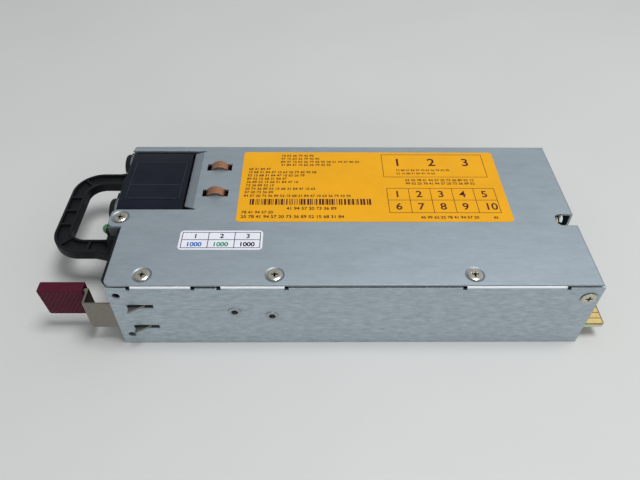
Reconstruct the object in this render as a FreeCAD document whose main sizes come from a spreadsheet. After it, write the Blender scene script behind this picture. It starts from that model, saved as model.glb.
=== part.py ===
"""Hot swap server power supply: a sheet metal case with a fan bay and a handle in front, a card edge
behind, a sprung side latch and the power electronics inside.  Millimetres, +Z up.  The origin is the
centre of the underside of the case, +X runs to the card edge and +Y away from the latch side."""

import FreeCAD, Part
import Sketcher
import math
import os

SIZES = {
    # Case: a tray and a cover, both folded from one thickness of sheet
    "case_length": 190.5,
    "case_width": 86.0,
    "case_height": 38.2,
    "sheet": 1.0,
    "bend_radius": 0.9,
    "wall_overhang": 1.0,
    "corner_radius": 2.5,
    "fit_gap": 0.1,
    # Fan bay, which stands forward of the inlet half of the front
    "bay_step": 6.0,
    "bay_edge": 31.5,
    "cut_room_near": 1.7,
    "cut_room_far": 1.5,
    "fan_cut_length": 28.0,
    # Cover details
    "end_flange_foot": 14.0,
    "side_flange_drop": 14.0,
    "notch_near": 32.0,
    "notch_foot": 22.0,
    "notch_far": 39.0,
    "notch_depth": 8.6,
    "flap_reach": 4.3,
    "flap_drop": 1.2,
    "flap_taper": 2.5,
    "flap_relief": 0.8,
    "clip_slot_start": 30.7,
    "clip_slot_length": 11.3,
    "clip_slot_width": 4.8,
    "clip_bridge": 5.8,
    "clip_slot_near": 49.9,
    "clip_slot_pitch": 17.8,
    "vent_flats": 3.8,
    "vent_pitch": 4.8,
    "vent_margin": 3.4,
    "end_tab_length": 8.5,
    "end_tab_foot": 24.0,
    # Tray flanges that the cover is screwed to
    "flange_depth": 9.0,
    "flange_rounding": 1.6,
    "flange_a_start": 9.7,
    "flange_a_end": 32.7,
    "flange_b_start": 44.1,
    "flange_b_end": 68.4,
    "flange_c_start": 138.2,
    "flange_c_end": 176.7,
    "relief_width": 1.6,
    "relief_depth": 1.5,
    "lip_start": 34.1,
    "lip_end": 42.0,
    "lip_drop": 0.4,
    "lip_depth": 3.0,
    # Screws: M3 with low wide heads, set in dimples
    "screw_radius": 1.5,
    "screw_head_radius": 2.95,
    "screw_head_height": 0.75,
    "screw_length": 3.9,
    "screw_sink": 0.35,
    "screw_crown": 0.3,
    "cross_length": 2.9,
    "cross_width": 0.75,
    "cross_core": 1.8,
    "cross_depth": 0.9,
    "dimple_rim": 0.9,
    "screw_row": 5.0,
    "screw_a": 13.8,
    "screw_b": 64.5,
    "screw_c": 141.6,
    "tab_screw_back": 4.3,
    "tab_screw_across": 36.9,
    "side_screw_inset": 3.4,
    "side_screw_drop": 8.7,
    "far_screw_front": 30.0,
    "far_screw_rear": 160.0,
    # Holes in the latch side wall
    "datum_hole_radius": 1.55,
    "datum_high_x": 3.5,
    "datum_high_z": 31.4,
    "datum_low_x": 4.2,
    "datum_low_z": 6.0,
    # Latch: a leaf spring along the inside of the wall, two teeth and a thumb cap
    "leaf_thickness": 0.8,
    "leaf_gap": 0.2,
    "leaf_foot": 9.6,
    "leaf_top": 24.9,
    "leaf_end": 67.5,
    "latch_hinge": 44.0,
    "hinge_slit": 0.3,
    "rivet_front_x": 48.1,
    "rivet_front_z": 21.3,
    "rivet_rear_x": 62.9,
    "rivet_rear_z": 18.7,
    "rivet_radius": 2.0,
    "rivet_bore": 1.4,
    "rivet_flange": 0.6,
    "rivet_flange_height": 0.35,
    "tooth_high": 24.1,
    "tooth_low": 10.7,
    "tooth_thickness": 0.8,
    "tooth_reach": 3.0,
    "tooth_start": 6.9,
    "tooth_end": 14.0,
    "slot_start": 6.2,
    "slot_end": 16.5,
    "slot_below": 0.5,
    "slot_above": 1.0,
    "latch_reach": 12.0,
    "tongue_length": 17.0,
    "cap_length": 18.7,
    "cap_start": 13.3,
    "cap_depth": 4.5,
    "cap_near": 7.5,
    "cap_foot": 10.0,
    "cap_height": 15.5,
    "cap_wall": 0.9,
    "cap_rounding": 1.2,
    "cap_taper": 1.0,
    "cap_edge": 0.7,
    # Fan
    "fan_room": 0.6,
    "fan_depth": 28.0,
    "fan_aside": 3.2,
    "fan_corner": 5.5,
    "fan_rim": 1.1,
    "hub_plate": 2.0,
    "hub_radius": 10.0,
    "strut_width": 2.4,
    "bearing_tube_radius": 3.6,
    "bearing_radius": 3.0,
    "bearing_length": 2.4,
    "shaft_radius": 1.0,
    "shaft_play": 0.04,
    "stator_radius": 7.4,
    "stator_length": 8.0,
    "stator_poles": 4,
    "pole_gap": 1.6,
    "magnet_wall": 1.1,
    "cup_wall": 0.9,
    "cup_length": 14.0,
    "cup_gap": 0.6,
    "blade_count": 7,
    "blade_gap": 0.55,
    "blade_thickness": 1.1,
    "blade_chord": 11.0,
    "blade_root_angle": 38.0,
    "blade_tip_angle": 58.0,
    "film": 0.25,
    "film_bulge": 1.3,
    "film_fall": 0.55,
    "film_flat_near": 4.3,
    "film_flat_far": 5.8,
    "film_corner": 2.2,
    "overlap_inset_front": 3.2,
    "overlap_inset_rear": 3.0,
    "overlap_sink": 0.4,
    # Fan bracket and the black front moulding
    "ear_radius": 6.2,
    "ear_aside": 3.2,
    "ear_inset": 6.4,
    "opening_inset": 1.2,
    "bezel_plate": 1.2,
    "bezel_foot": 1.5,
    "bezel_drop": 2.6,
    "web_near": 29.0,
    "web_drop": 5.9,
    "lobe_height": 2.6,
    "lobe_rounding": 1.3,
    "ring_width": 1.1,
    "ring_pitch": 3.6,
    "ring_first": 4.4,
    "ring_count": 4,
    "spoke_width": 1.6,
    "inlet_plate": 2.0,
    "bezel_near": 7.2,
    "lamp_across": 36.0,
    "lamp_drop": 6.2,
    "lamp_radius": 2.2,
    "lamp_stem_radius": 1.7,
    "lamp_stem_length": 6.0,
    # Handle
    "handle_aside": 27.6,
    "handle_half_width": 26.3,
    "handle_band": 7.6,
    "handle_reach": 36.1,
    "handle_thickness": 5.0,
    "handle_height": 20.5,
    "handle_outer_radius": 13.0,
    "handle_inner_radius": 7.0,
    "handle_rim": 1.3,
    "handle_edge": 0.6,
    "handle_recess": 1.6,
    "handle_rib": 0.9,
    "grip_rib_pitch": 9.0,
    "leg_rib_reach": 18.7,
    "gusset_reach": 15.7,
    "gusset_flare": 2.2,
    "handle_foot": 1.6,
    "handle_foot_height": 9.0,
    # Mains inlet: an appliance inlet on end, the earth pin towards the latch side
    "inlet_across": 19.0,
    "inlet_width": 20.0,
    "inlet_height": 27.0,
    "inlet_depth": 20.0,
    "socket_width": 15.6,
    "socket_height": 24.0,
    "socket_depth": 16.5,
    "socket_corner": 2.0,
    "socket_chamfer": 5.0,
    "pin_across": 2.0,
    "pin_along": 4.0,
    "pin_length": 15.0,
    "pin_tail": 7.0,
    "pin_spacing": 14.0,
    "pin_offset": 1.5,
    "earth_offset": 4.0,
    # Main board
    "board_top": 8.0,
    "board_thickness": 1.6,
    "board_front": 31.0,
    "board_margin": 0.8,
    "tongue_reach": 11.8,
    "tongue_near": 3.0,
    "tongue_far": 73.0,
    "contact_pitch": 2.9,
    "contact_width": 2.5,
    "contact_length": 7.6,
    "contact_first": 1.9,
    "contact_inset": 0.5,
    "contact_thickness": 0.1,
    "standoff_radius": 2.6,
    "standoff_inset_front": 4.5,
    "standoff_inset_rear": 7.0,
    "standoff_inset_side": 4.5,
    "board_screw_head": 2.4,
    "board_screw_height": 1.6,
    "lining": 0.3,
    # Ground clips: bowed strips in the cover's slots
    "clip_bow_length": 8.4,
    "clip_bow_rise": 3.0,
    "clip_metal": 0.3,
    "clip_foot": 2.6,
    "clip_drop": 3.0,
    "clip_side_gap": 0.3,
    # Fan bracket extras, handle pegs and fan screws
    "wing_reach": 3.0,
    "bezel_edge": 2.0,
    "bezel_lip": 1.9,
    "handle_peg_radius": 1.2,
    "peg_shift": 1.9,
    "fan_screw_radius": 1.5,
    "fan_screw_head": 2.7,
    "fan_screw_height": 1.5,
    "fan_screw_length": 6.0,
    "lamp_collar": 0.9,
    "boss_length": 1.2,
    "board_corner": 1.2,
    "board_screw_radius": 1.25,
    # Power electronics on the board, placed from the front and the latch side
    "winding": 1.2,
    "winding_split": 2.4,
    "winding_bulge": 3.0,
    "case_rounding": 0.8,
    "small_rounding": 0.4,
    "choke_a_x": 48.0,
    "choke_b_x": 76.0,
    "choke_y": 24.0,
    "choke_radius": 11.0,
    "choke_bore": 6.0,
    "choke_height": 12.0,
    "boost_x": 48.0,
    "boost_y": 63.0,
    "boost_radius": 14.0,
    "boost_bore": 7.0,
    "boost_height": 16.0,
    "xcap_x": 91.0,
    "xcap_y": 8.0,
    "xcap_length": 11.0,
    "xcap_width": 26.0,
    "xcap_height": 20.0,
    "fuse_x": 37.0,
    "fuse_y": 42.0,
    "fuse_radius": 2.6,
    "fuse_length": 20.0,
    "fuse_cap": 5.0,
    "bulk_x": 68.0,
    "bulk_y": 62.0,
    "bulk_headroom": 1.2,
    "bulk_length": 45.0,
    "bulk_groove": 1.0,
    "sink_plate": 2.5,
    "sink_fin": 6.0,
    "sink_fin_width": 1.2,
    "sink_pitch": 4.0,
    "sink_headroom": 5.2,
    "primary_sink_x": 106.0,
    "primary_sink_y": 12.0,
    "primary_sink_length": 54.0,
    "secondary_sink_gap": 3.0,
    "secondary_sink_y": 68.0,
    "secondary_sink_length": 34.0,
    "switch_thickness": 4.8,
    "switch_width": 10.5,
    "switch_height": 16.0,
    "switch_pitch": 13.0,
    "switch_count": 2,
    "switch_lift": 3.0,
    "bridge_length": 22.0,
    "bridge_height": 16.0,
    "sync_count": 3,
    "sync_pitch": 11.4,
    "trafo_gap": 5.0,
    "trafo_y": 44.0,
    "trafo_length": 22.0,
    "trafo_width": 34.0,
    "trafo_headroom": 3.2,
    "trafo_leg": 4.5,
    "standby_x": 122.0,
    "standby_y": 24.0,
    "standby_length": 12.0,
    "standby_width": 16.0,
    "standby_height": 15.0,
    "standby_leg": 2.2,
    "out_choke_x": 32.5,
    "out_choke_y": 50.0,
    "out_choke_radius": 9.0,
    "out_choke_bore": 4.5,
    "out_choke_height": 10.0,
    "out_cap_x": 14.5,
    "out_cap_y": 44.0,
    "out_cap_count": 2,
    "out_cap_pitch": 11.0,
    "out_cap_radius": 5.0,
    "out_cap_height": 16.0,
    "busbar_x": 25.5,
    "busbar_y": 24.0,
    "busbar_pitch": 5.0,
    "busbar_width": 1.5,
    "busbar_length": 20.0,
    "busbar_height": 8.0,
    "control_x": 140.0,
    "control_y": 36.0,
    "control_length": 38.0,
    "control_headroom": 7.2,
    # Labels
    "rating_x": 46.9,
    "rating_y": 34.0,
    "rating_length": 117.3,
    "rating_width": 47.3,
    "inspection_x": 25.1,
    "inspection_y": 18.0,
    "inspection_length": 33.8,
    "inspection_width": 10.7,
    "label_thickness": 0.12,
    "label_corner": 1.6,
}


class Length:
    """A size, or sizes worked together: the number, and the same as a formula on the sheet."""

    def __init__(self, value, text):
        self.value = value
        self.text = text

    @staticmethod
    def of(number):
        return number if isinstance(number, Length) else Length(float(number), f"({number})")

    def __add__(self, other):
        other = Length.of(other)
        return Length(self.value + other.value, f"({self.text} + {other.text})")

    def __sub__(self, other):
        other = Length.of(other)
        return Length(self.value - other.value, f"({self.text} - {other.text})")

    def __mul__(self, other):
        other = Length.of(other)
        return Length(self.value * other.value, f"({self.text} * {other.text})")

    def __truediv__(self, other):
        other = Length.of(other)
        return Length(self.value / other.value, f"({self.text} / {other.text})")

    def __neg__(self):
        return Length(-self.value, f"(0 - {self.text})")

    __radd__ = __add__
    __rmul__ = __mul__

    def __rsub__(self, other):
        return Length.of(other) - self


doc = FreeCAD.newDocument("power_supply")
sheet = doc.addObject("Spreadsheet::Sheet", "Sizes")


class Sizes:
    """Every size of the sheet by its name."""


size = Sizes()
for row, (alias, number) in enumerate(SIZES.items(), start=1):
    sheet.set(f"A{row}", alias)
    sheet.set(f"B{row}", str(number))
    sheet.setAlias(f"B{row}", alias)
    setattr(size, alias, Length(float(number), f"Sizes.{alias}"))
doc.recompute()

# Reference planes of the case
FRONT = -size.case_length / 2
REAR = size.case_length / 2
NEAR = -size.case_width / 2
FAR = size.case_width / 2
UNDER_COVER = size.case_height - size.sheet
WALL_TOP = UNDER_COVER - size.sheet
FAR_WALL = FAR - size.sheet
BAY_FRONT = FRONT - size.bay_step
BAY_NEAR = NEAR + size.bay_edge
FAN_SIZE = size.case_height - size.fan_room
FAN_BORE = FAN_SIZE - size.fan_rim * 2
FAN_Y = FAR_WALL - size.sheet - size.fan_aside - FAN_SIZE / 2
CUT_NEAR = FAN_Y - FAN_SIZE / 2 - size.cut_room_near
CUT_FAR = FAN_Y + FAN_SIZE / 2 + size.cut_room_far
FAN_Z = size.case_height / 2
BOARD_TOP = size.board_top
BOARD_UNDER = size.board_top - size.board_thickness
LEAF_NEAR = NEAR + size.sheet + size.leaf_gap
LEAF_FAR = LEAF_NEAR + size.leaf_thickness
PLANE_NORMAL = {"XY_Plane": 1, "XZ_Plane": -1, "YZ_Plane": 1}
AXES = {
    "+X": FreeCAD.Vector(1, 0, 0),
    "-X": FreeCAD.Vector(-1, 0, 0),
    "+Y": FreeCAD.Vector(0, 1, 0),
    "-Y": FreeCAD.Vector(0, -1, 0),
    "+Z": FreeCAD.Vector(0, 0, 1),
    "-Z": FreeCAD.Vector(0, 0, -1),
}
nodes = []


# ---------------------------------------------------------------- helpers

def bind(obj, path, length):
    obj.setExpression(path, Length.of(length).text)


def place(obj, x, y, z):
    for axis, length in zip("xyz", (x, y, z)):
        bind(obj, f"Placement.Base.{axis}", length)
    return obj


def node(obj, label):
    """Call an object a sub-part: its label names its file."""
    obj.Label = label
    nodes.append(obj)
    return obj


def new_body(name):
    return doc.addObject("PartDesign::Body", f"{name}_body")


def sketch_on(body, plane, offset):
    """A sketch on one of the body's origin planes, moved by offset along +X, +Y or +Z."""
    sketch = body.newObject("Sketcher::SketchObject", "Sketch")
    support = next(item for item in body.Origin.OriginFeatures if item.Role == plane)
    sketch.AttachmentSupport = [(support, "")]
    sketch.MapMode = "FlatFace"
    bind(sketch, "AttachmentOffset.Base.z", Length.of(offset) * PLANE_NORMAL[plane])
    return sketch


def constrain(sketch, rules):
    """Add rules to the sketch in one step, and tie each that has a length to the sheet."""
    first = sketch.ConstraintCount
    sketch.addConstraint([Sketcher.Constraint(*rule, length.value) if length else Sketcher.Constraint(*rule)
                          for rule, length in rules])
    for i, (rule, length) in enumerate(rules):
        if length:
            sketch.setExpression(f"Constraints[{first + i}]", length.text)


def held(spot, where, x, y):
    """Rules that hold a point of the sketch by its distances from the origin."""
    return [(("DistanceX", -1, 1, spot, where), x), (("DistanceY", -1, 1, spot, where), y)]


def outline(sketch, corners):
    """A closed outline through corners (x, y) or (x, y, radius), held by its sizes."""
    corners = [tuple(Length.of(item) for item in corner) for corner in corners]
    points = [FreeCAD.Vector(corner[0].value, corner[1].value, 0) for corner in corners]
    count = len(corners)
    arrive, leave, centres = list(points), list(points), {}
    for i, corner in enumerate(corners):
        if len(corner) < 3:
            continue
        back = (points[i - 1] - points[i]).normalize()
        ahead = (points[(i + 1) % count] - points[i]).normalize()
        half = back.getAngle(ahead) / 2
        arrive[i] = points[i] + back * (corner[2].value / math.tan(half))
        leave[i] = points[i] + ahead * (corner[2].value / math.tan(half))
        centres[i] = points[i] + (back + ahead).normalize() * (corner[2].value / math.sin(half))
    lines = [sketch.addGeometry(Part.LineSegment(leave[i], arrive[(i + 1) % count])) for i in range(count)]
    rules = []
    for i, corner in enumerate(corners):
        if i in centres:
            spokes = [arrive[i] - centres[i], leave[i] - centres[i]]
            start = 1 if spokes[0].cross(spokes[1]).z > 0 else 2
            angles = [math.atan2(spoke.y, spoke.x) for spoke in (spokes if start == 1 else spokes[::-1])]
            ring = Part.Circle(centres[i], FreeCAD.Vector(0, 0, 1), corner[2].value)
            arc = sketch.addGeometry(Part.ArcOfCircle(ring, *angles))
            spot = sketch.addGeometry(Part.Point(points[i]), True)
            rules += [(("Tangent", lines[i - 1], 2, arc, start), None),
                      (("Tangent", arc, 3 - start, lines[i], 1), None),
                      (("PointOnObject", spot, 1, lines[i - 1]), None),
                      (("PointOnObject", spot, 1, lines[i]), None),
                      (("Radius", arc), corner[2])]
        else:
            spot = lines[i]
            rules.append((("Coincident", lines[i - 1], 2, lines[i], 1), None))
        rules += held(spot, 1, corner[0], corner[1])
    constrain(sketch, rules)
    return sketch


def rectangle(sketch, x0, y0, x1, y1, *radius):
    return outline(sketch, [(x0, y0, *radius), (x1, y0, *radius), (x1, y1, *radius), (x0, y1, *radius)])


def circle(sketch, x, y, radius):
    x, y, radius = Length.of(x), Length.of(y), Length.of(radius)
    centre = FreeCAD.Vector(x.value, y.value, 0)
    spot = sketch.addGeometry(Part.Circle(centre, FreeCAD.Vector(0, 0, 1), radius.value))
    constrain(sketch, held(spot, 3, x, y) + [(("Radius", spot), radius)])
    return sketch


def extrude(body, kind, sketch, length, towards_plus):
    feature = body.newObject(f"PartDesign::{kind}", kind)
    feature.Profile = sketch
    bind(feature, "Length", length)
    plane = sketch.AttachmentSupport[0][0].Role
    along_normal = towards_plus == (PLANE_NORMAL[plane] > 0)
    feature.Reversed = along_normal == (kind == "Pocket")
    return feature


def pad(body, sketch, length, towards_plus=True):
    return extrude(body, "Pad", sketch, length, towards_plus)


def pocket(body, sketch, length, towards_plus=True):
    return extrude(body, "Pocket", sketch, length, towards_plus)


def round_edges(body, radius, chosen):
    """Round the edges of the body that the test chooses."""
    doc.recompute()
    last = body.Tip
    names = [f"Edge{i}" for i, edge in enumerate(last.Shape.Edges, start=1) if chosen(edge)]
    feature = body.newObject("PartDesign::Fillet", "Fillet")
    feature.Base = (last, names)
    bind(feature, "Radius", radius)
    return feature


def runs_along(edge, axis):
    """True for a straight edge along x, y or z."""
    ends = edge.firstVertex().Point - edge.lastVertex().Point
    return edge.Curve.TypeId == "Part::GeomLine" and abs(abs(getattr(ends, axis)) - edge.Length) < 1e-6


def lies_at(edge, axis, length):
    return abs(getattr(edge.CenterOfMass, axis) - Length.of(length).value) < 1e-4


def block(name, x, y, z, length, width, height):
    obj = doc.addObject("Part::Box", name)
    bind(obj, "Length", length)
    bind(obj, "Width", width)
    bind(obj, "Height", height)
    return place(obj, x, y, z)


def rod(name, x, y, z, radius, length, axis="+Z"):
    obj = doc.addObject("Part::Cylinder", name)
    bind(obj, "Radius", radius)
    bind(obj, "Height", length)
    obj.Placement = FreeCAD.Placement(FreeCAD.Vector(), FreeCAD.Rotation(AXES["+Z"], AXES[axis]))
    return place(obj, x, y, z)


def cone(name, x, y, z, radius, end_radius, length, axis="+Z"):
    obj = doc.addObject("Part::Cone", name)
    bind(obj, "Radius1", radius)
    bind(obj, "Radius2", end_radius)
    bind(obj, "Height", length)
    obj.Placement = FreeCAD.Placement(FreeCAD.Vector(), FreeCAD.Rotation(AXES["+Z"], AXES[axis]))
    return place(obj, x, y, z)


def fuse(name, *parts):
    obj = doc.addObject("Part::MultiFuse", name)
    obj.Shapes = list(parts)
    obj.Refine = True
    return obj


def cut(name, base, *tools):
    obj = doc.addObject("Part::Cut", name)
    obj.Base = base
    obj.Tool = tools[0] if len(tools) == 1 else fuse(f"{name}_tools", *tools)
    return obj


def tube(name, x, y, z, outer, inner, length, axis="+Z"):
    return cut(name, rod(f"{name}_outside", x, y, z, outer, length, axis),
               rod(f"{name}_inside", x, y, z, inner, length, axis))


def group(name, parts):
    obj = doc.addObject("Part::Compound", name)
    obj.Links = list(parts)
    return obj


# ---------------------------------------------------------------- case

CLIP_SLOTS = [NEAR + size.clip_slot_near, NEAR + size.clip_slot_near + size.clip_slot_pitch]
TOP_SCREWS = [
    (FRONT + size.screw_a, NEAR + size.screw_row),
    (FRONT + size.screw_b, NEAR + size.screw_row),
    (FRONT + size.screw_c, NEAR + size.screw_row),
]
TAB_SCREW = (BAY_FRONT + size.tab_screw_back, NEAR + size.tab_screw_across)
SIDE_SCREW_Z = size.case_height - size.side_screw_drop
SIDE_SCREW = (REAR - size.side_screw_inset, SIDE_SCREW_Z)
FAR_SCREWS = [
    (FRONT + size.far_screw_front, SIDE_SCREW_Z),
    (FRONT + size.far_screw_rear, SIDE_SCREW_Z),
]
SCREW_HOLE = size.screw_radius + size.fit_gap


def tray():
    """Floor, two walls and the flanges at the top of the latch side wall."""
    body = new_body("tray")
    floor = sketch_on(body, "XY_Plane", 0)
    outline(floor, [(FRONT, NEAR), (REAR, NEAR), (REAR, FAR_WALL), (BAY_FRONT, FAR_WALL),
                    (BAY_FRONT, CUT_FAR), (FRONT + size.fan_cut_length, CUT_FAR),
                    (FRONT + size.fan_cut_length, CUT_NEAR),
                    (BAY_FRONT, CUT_NEAR), (BAY_FRONT, BAY_NEAR), (FRONT, BAY_NEAR)])
    pad(body, floor, size.sheet)
    near_wall = sketch_on(body, "XZ_Plane", NEAR)
    rectangle(near_wall, FRONT, 0, REAR + size.wall_overhang, WALL_TOP)
    pad(body, near_wall, size.sheet)
    far_wall = sketch_on(body, "XZ_Plane", FAR_WALL - size.sheet)
    rectangle(far_wall, BAY_FRONT, 0, REAR - size.sheet, WALL_TOP)
    pad(body, far_wall, size.sheet)
    flanges = [(size.flange_a_start, size.flange_a_end), (size.flange_b_start, size.flange_b_end),
               (size.flange_c_start, size.flange_c_end)]
    tops = sketch_on(body, "XY_Plane", WALL_TOP)
    for start, end in flanges:
        rectangle(tops, FRONT + start, NEAR, FRONT + end, NEAR + size.flange_depth)
    pad(body, tops, size.sheet)
    reliefs = sketch_on(body, "XZ_Plane", NEAR)
    for start, end in flanges:
        for x in (start - size.relief_width, end):
            rectangle(reliefs, FRONT + x, WALL_TOP - size.relief_depth,
                      FRONT + x + size.relief_width, WALL_TOP + size.sheet)
    pocket(body, reliefs, size.sheet)
    round_edges(body, size.flange_rounding, lambda edge: runs_along(edge, "x") and lies_at(edge, "y", NEAR)
                and lies_at(edge, "z", UNDER_COVER))
    lip_top = WALL_TOP - size.lip_drop
    step = sketch_on(body, "XZ_Plane", NEAR)
    rectangle(step, FRONT + size.lip_start, lip_top, FRONT + size.lip_end, WALL_TOP + size.sheet)
    pocket(body, step, size.sheet)
    lip = sketch_on(body, "XY_Plane", lip_top)
    rectangle(lip, FRONT + size.lip_start, NEAR, FRONT + size.lip_end, NEAR + size.lip_depth)
    pad(body, lip, size.sheet, towards_plus=False)
    holes = sketch_on(body, "XZ_Plane", NEAR)
    circle(holes, FRONT + size.datum_high_x, size.datum_high_z, size.datum_hole_radius)
    circle(holes, FRONT + size.datum_low_x, size.datum_low_z, size.datum_hole_radius)
    rivet_hole = size.rivet_radius + size.fit_gap
    circle(holes, FRONT + size.rivet_front_x, size.rivet_front_z, rivet_hole)
    circle(holes, FRONT + size.rivet_rear_x, size.rivet_rear_z, rivet_hole)
    circle(holes, *SIDE_SCREW, SCREW_HOLE)
    for tooth in (size.tooth_high, size.tooth_low):
        rectangle(holes, FRONT + size.slot_start, tooth - size.slot_below,
                  FRONT + size.slot_end, tooth + size.tooth_thickness + size.slot_above)
    pocket(body, holes, size.sheet)
    threads = sketch_on(body, "XY_Plane", WALL_TOP)
    for x, y in TOP_SCREWS:
        circle(threads, x, y, SCREW_HOLE)
    pocket(body, threads, size.sheet)
    far_threads = sketch_on(body, "XZ_Plane", FAR_WALL - size.sheet)
    for x, z in FAR_SCREWS:
        circle(far_threads, x, z, SCREW_HOLE)
    pocket(body, far_threads, size.sheet)
    dimple(body, "XZ_Plane", NEAR, [SIDE_SCREW])
    return node(body, "tray")


def dimple(body, plane, level, centres, towards_plus=True):
    """A shallow recess for each screw head, cut from the plane at level into the sheet."""
    recess = sketch_on(body, plane, level)
    for x, y in centres:
        circle(recess, x, y, size.screw_head_radius + size.dimple_rim)
    feature = pocket(body, recess, size.screw_sink, towards_plus)
    feature.TaperAngle = -60
    return feature


def vents(near_edge, far_edge):
    """Staggered rows of six-sided vents across the end flange between two edges."""
    low = size.end_flange_foot + size.vent_margin
    high = UNDER_COVER - size.vent_margin
    row_pitch = size.vent_pitch * math.sqrt(0.75)
    rows = int((high.value - low.value) / row_pitch.value) + 1
    prisms = []
    for row in range(rows):
        start = near_edge + size.vent_margin + size.vent_pitch / 2 * (row % 2)
        columns = int((far_edge.value - size.vent_margin.value - start.value) / size.vent_pitch.value) + 1
        for column in range(columns):
            prism = doc.addObject("Part::Prism", "Vent")
            prism.Polygon = 6
            bind(prism, "Circumradius", size.vent_flats / math.sqrt(3))
            bind(prism, "Height", size.sheet * 3)
            prism.Placement = FreeCAD.Placement(FreeCAD.Vector(), FreeCAD.Rotation(0, 90, 0))
            prisms.append(place(prism, REAR - size.sheet * 2, start + size.vent_pitch * column,
                                low + row_pitch * row))
    return prisms


def cover():
    """Top, rear end and far side flange, with the fan cut-out and its bent-down flap."""
    body = new_body("cover")
    cut_x = FRONT + size.fan_cut_length
    relief = size.flap_relief
    top = sketch_on(body, "XY_Plane", UNDER_COVER)
    outline(top, [(FRONT, NEAR, size.corner_radius), (REAR, NEAR), (REAR, NEAR + size.notch_near),
                  (REAR - size.notch_depth, NEAR + size.notch_near, size.corner_radius),
                  (REAR - size.notch_depth, NEAR + size.notch_far, size.corner_radius),
                  (REAR, NEAR + size.notch_far), (REAR, FAR), (BAY_FRONT + size.sheet, FAR),
                  (BAY_FRONT, CUT_FAR), (cut_x + relief, CUT_FAR), (cut_x + relief, CUT_FAR - relief),
                  (cut_x, CUT_FAR - relief), (cut_x, CUT_NEAR + relief), (cut_x + relief, CUT_NEAR + relief),
                  (cut_x + relief, CUT_NEAR), (BAY_FRONT, CUT_NEAR, size.corner_radius),
                  (BAY_FRONT, BAY_NEAR, size.corner_radius), (FRONT, BAY_NEAR)])
    pad(body, top, size.sheet)
    end = sketch_on(body, "YZ_Plane", REAR - size.sheet)
    end_near = NEAR + size.sheet + size.fit_gap
    rectangle(end, end_near, size.end_flange_foot, FAR, UNDER_COVER)
    pad(body, end, size.sheet)
    notch = sketch_on(body, "YZ_Plane", REAR)
    rectangle(notch, NEAR + size.notch_near, size.notch_foot, NEAR + size.notch_far, UNDER_COVER)
    pocket(body, notch, size.sheet, towards_plus=False)
    side = sketch_on(body, "XZ_Plane", FAR_WALL)
    rectangle(side, BAY_FRONT + size.sheet, size.case_height - size.side_flange_drop, REAR, UNDER_COVER)
    pad(body, side, size.sheet)
    tab = sketch_on(body, "XZ_Plane", end_near)
    rectangle(tab, REAR - size.end_tab_length, size.end_tab_foot, REAR - size.sheet, WALL_TOP)
    pad(body, tab, size.sheet)
    flap = sketch_on(body, "XZ_Plane", CUT_NEAR + relief)
    outline(flap, [(cut_x, size.case_height), (cut_x - size.flap_reach, size.case_height - size.flap_drop),
                   (cut_x - size.flap_reach, UNDER_COVER - size.flap_drop), (cut_x, UNDER_COVER)])
    pad(body, flap, CUT_FAR - CUT_NEAR - relief * 2)
    taper = sketch_on(body, "XY_Plane", size.case_height)
    outline(taper, [(cut_x - size.flap_reach, CUT_NEAR + relief), (cut_x, CUT_NEAR + relief),
                    (cut_x - size.flap_reach, CUT_NEAR + relief + size.flap_taper)])
    pocket(body, taper, size.flap_drop + size.sheet, towards_plus=False)
    slots = sketch_on(body, "XY_Plane", size.case_height)
    slot = (size.clip_slot_length - size.clip_bridge) / 2
    for y in CLIP_SLOTS:
        for offset in (Length.of(0), slot + size.clip_bridge):
            x = FRONT + size.clip_slot_start + offset
            rectangle(slots, x, y, x + slot, y + size.clip_slot_width)
    pocket(body, slots, size.sheet, towards_plus=False)
    holes = sketch_on(body, "XY_Plane", size.case_height)
    for x, y in TOP_SCREWS + [TAB_SCREW]:
        circle(holes, x, y, SCREW_HOLE)
    pocket(body, holes, size.sheet, towards_plus=False)
    dimple(body, "XY_Plane", size.case_height, TOP_SCREWS + [TAB_SCREW], towards_plus=False)
    side_holes = sketch_on(body, "XZ_Plane", FAR)
    for x, z in FAR_SCREWS:
        circle(side_holes, x, z, SCREW_HOLE)
    pocket(body, side_holes, size.sheet, towards_plus=False)
    dimple(body, "XZ_Plane", FAR, FAR_SCREWS, towards_plus=False)
    tab_hole = sketch_on(body, "XZ_Plane", end_near)
    circle(tab_hole, *SIDE_SCREW, SCREW_HOLE)
    pocket(body, tab_hole, size.sheet)
    round_edges(body, size.bend_radius, lambda edge: lies_at(edge, "z", size.case_height)
                and (runs_along(edge, "y") and lies_at(edge, "x", REAR)
                     or runs_along(edge, "x") and lies_at(edge, "y", FAR)))
    prisms = vents(NEAR + size.sheet, NEAR + size.notch_near) + vents(NEAR + size.notch_far, FAR - size.sheet)
    return node(cut("vented_cover", body, group("vent_field", prisms)), "cover")


def screw(name, x, y, z, axis):
    """A low headed screw: its head's seat is at x, y, z and its shank runs against the axis."""
    head = rod(f"{name}_head", 0, 0, 0, size.screw_head_radius, size.screw_head_height - size.screw_crown)
    crown = cone(f"{name}_crown", 0, 0, size.screw_head_height - size.screw_crown, size.screw_head_radius,
                 size.screw_head_radius - size.screw_crown * 2, size.screw_crown)
    shank = rod(f"{name}_shank", 0, 0, -size.screw_length, size.screw_radius, size.screw_length)
    whole = fuse(f"{name}_blank", head, crown, shank)
    bars = []
    for reach, floor in ((size.cross_length, size.screw_crown), (size.cross_core, -size.cross_depth)):
        recess = size.screw_head_height - floor
        for along, across in ((reach, size.cross_width), (size.cross_width, reach)):
            bars.append(block(f"{name}_slot_{len(bars)}", -along / 2, -across / 2, floor, along, across,
                              recess))
    obj = cut(name, whole, *bars)
    obj.Placement = FreeCAD.Placement(FreeCAD.Vector(), FreeCAD.Rotation(AXES["+Z"], AXES[axis]))
    return place(obj, x, y, z)


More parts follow.
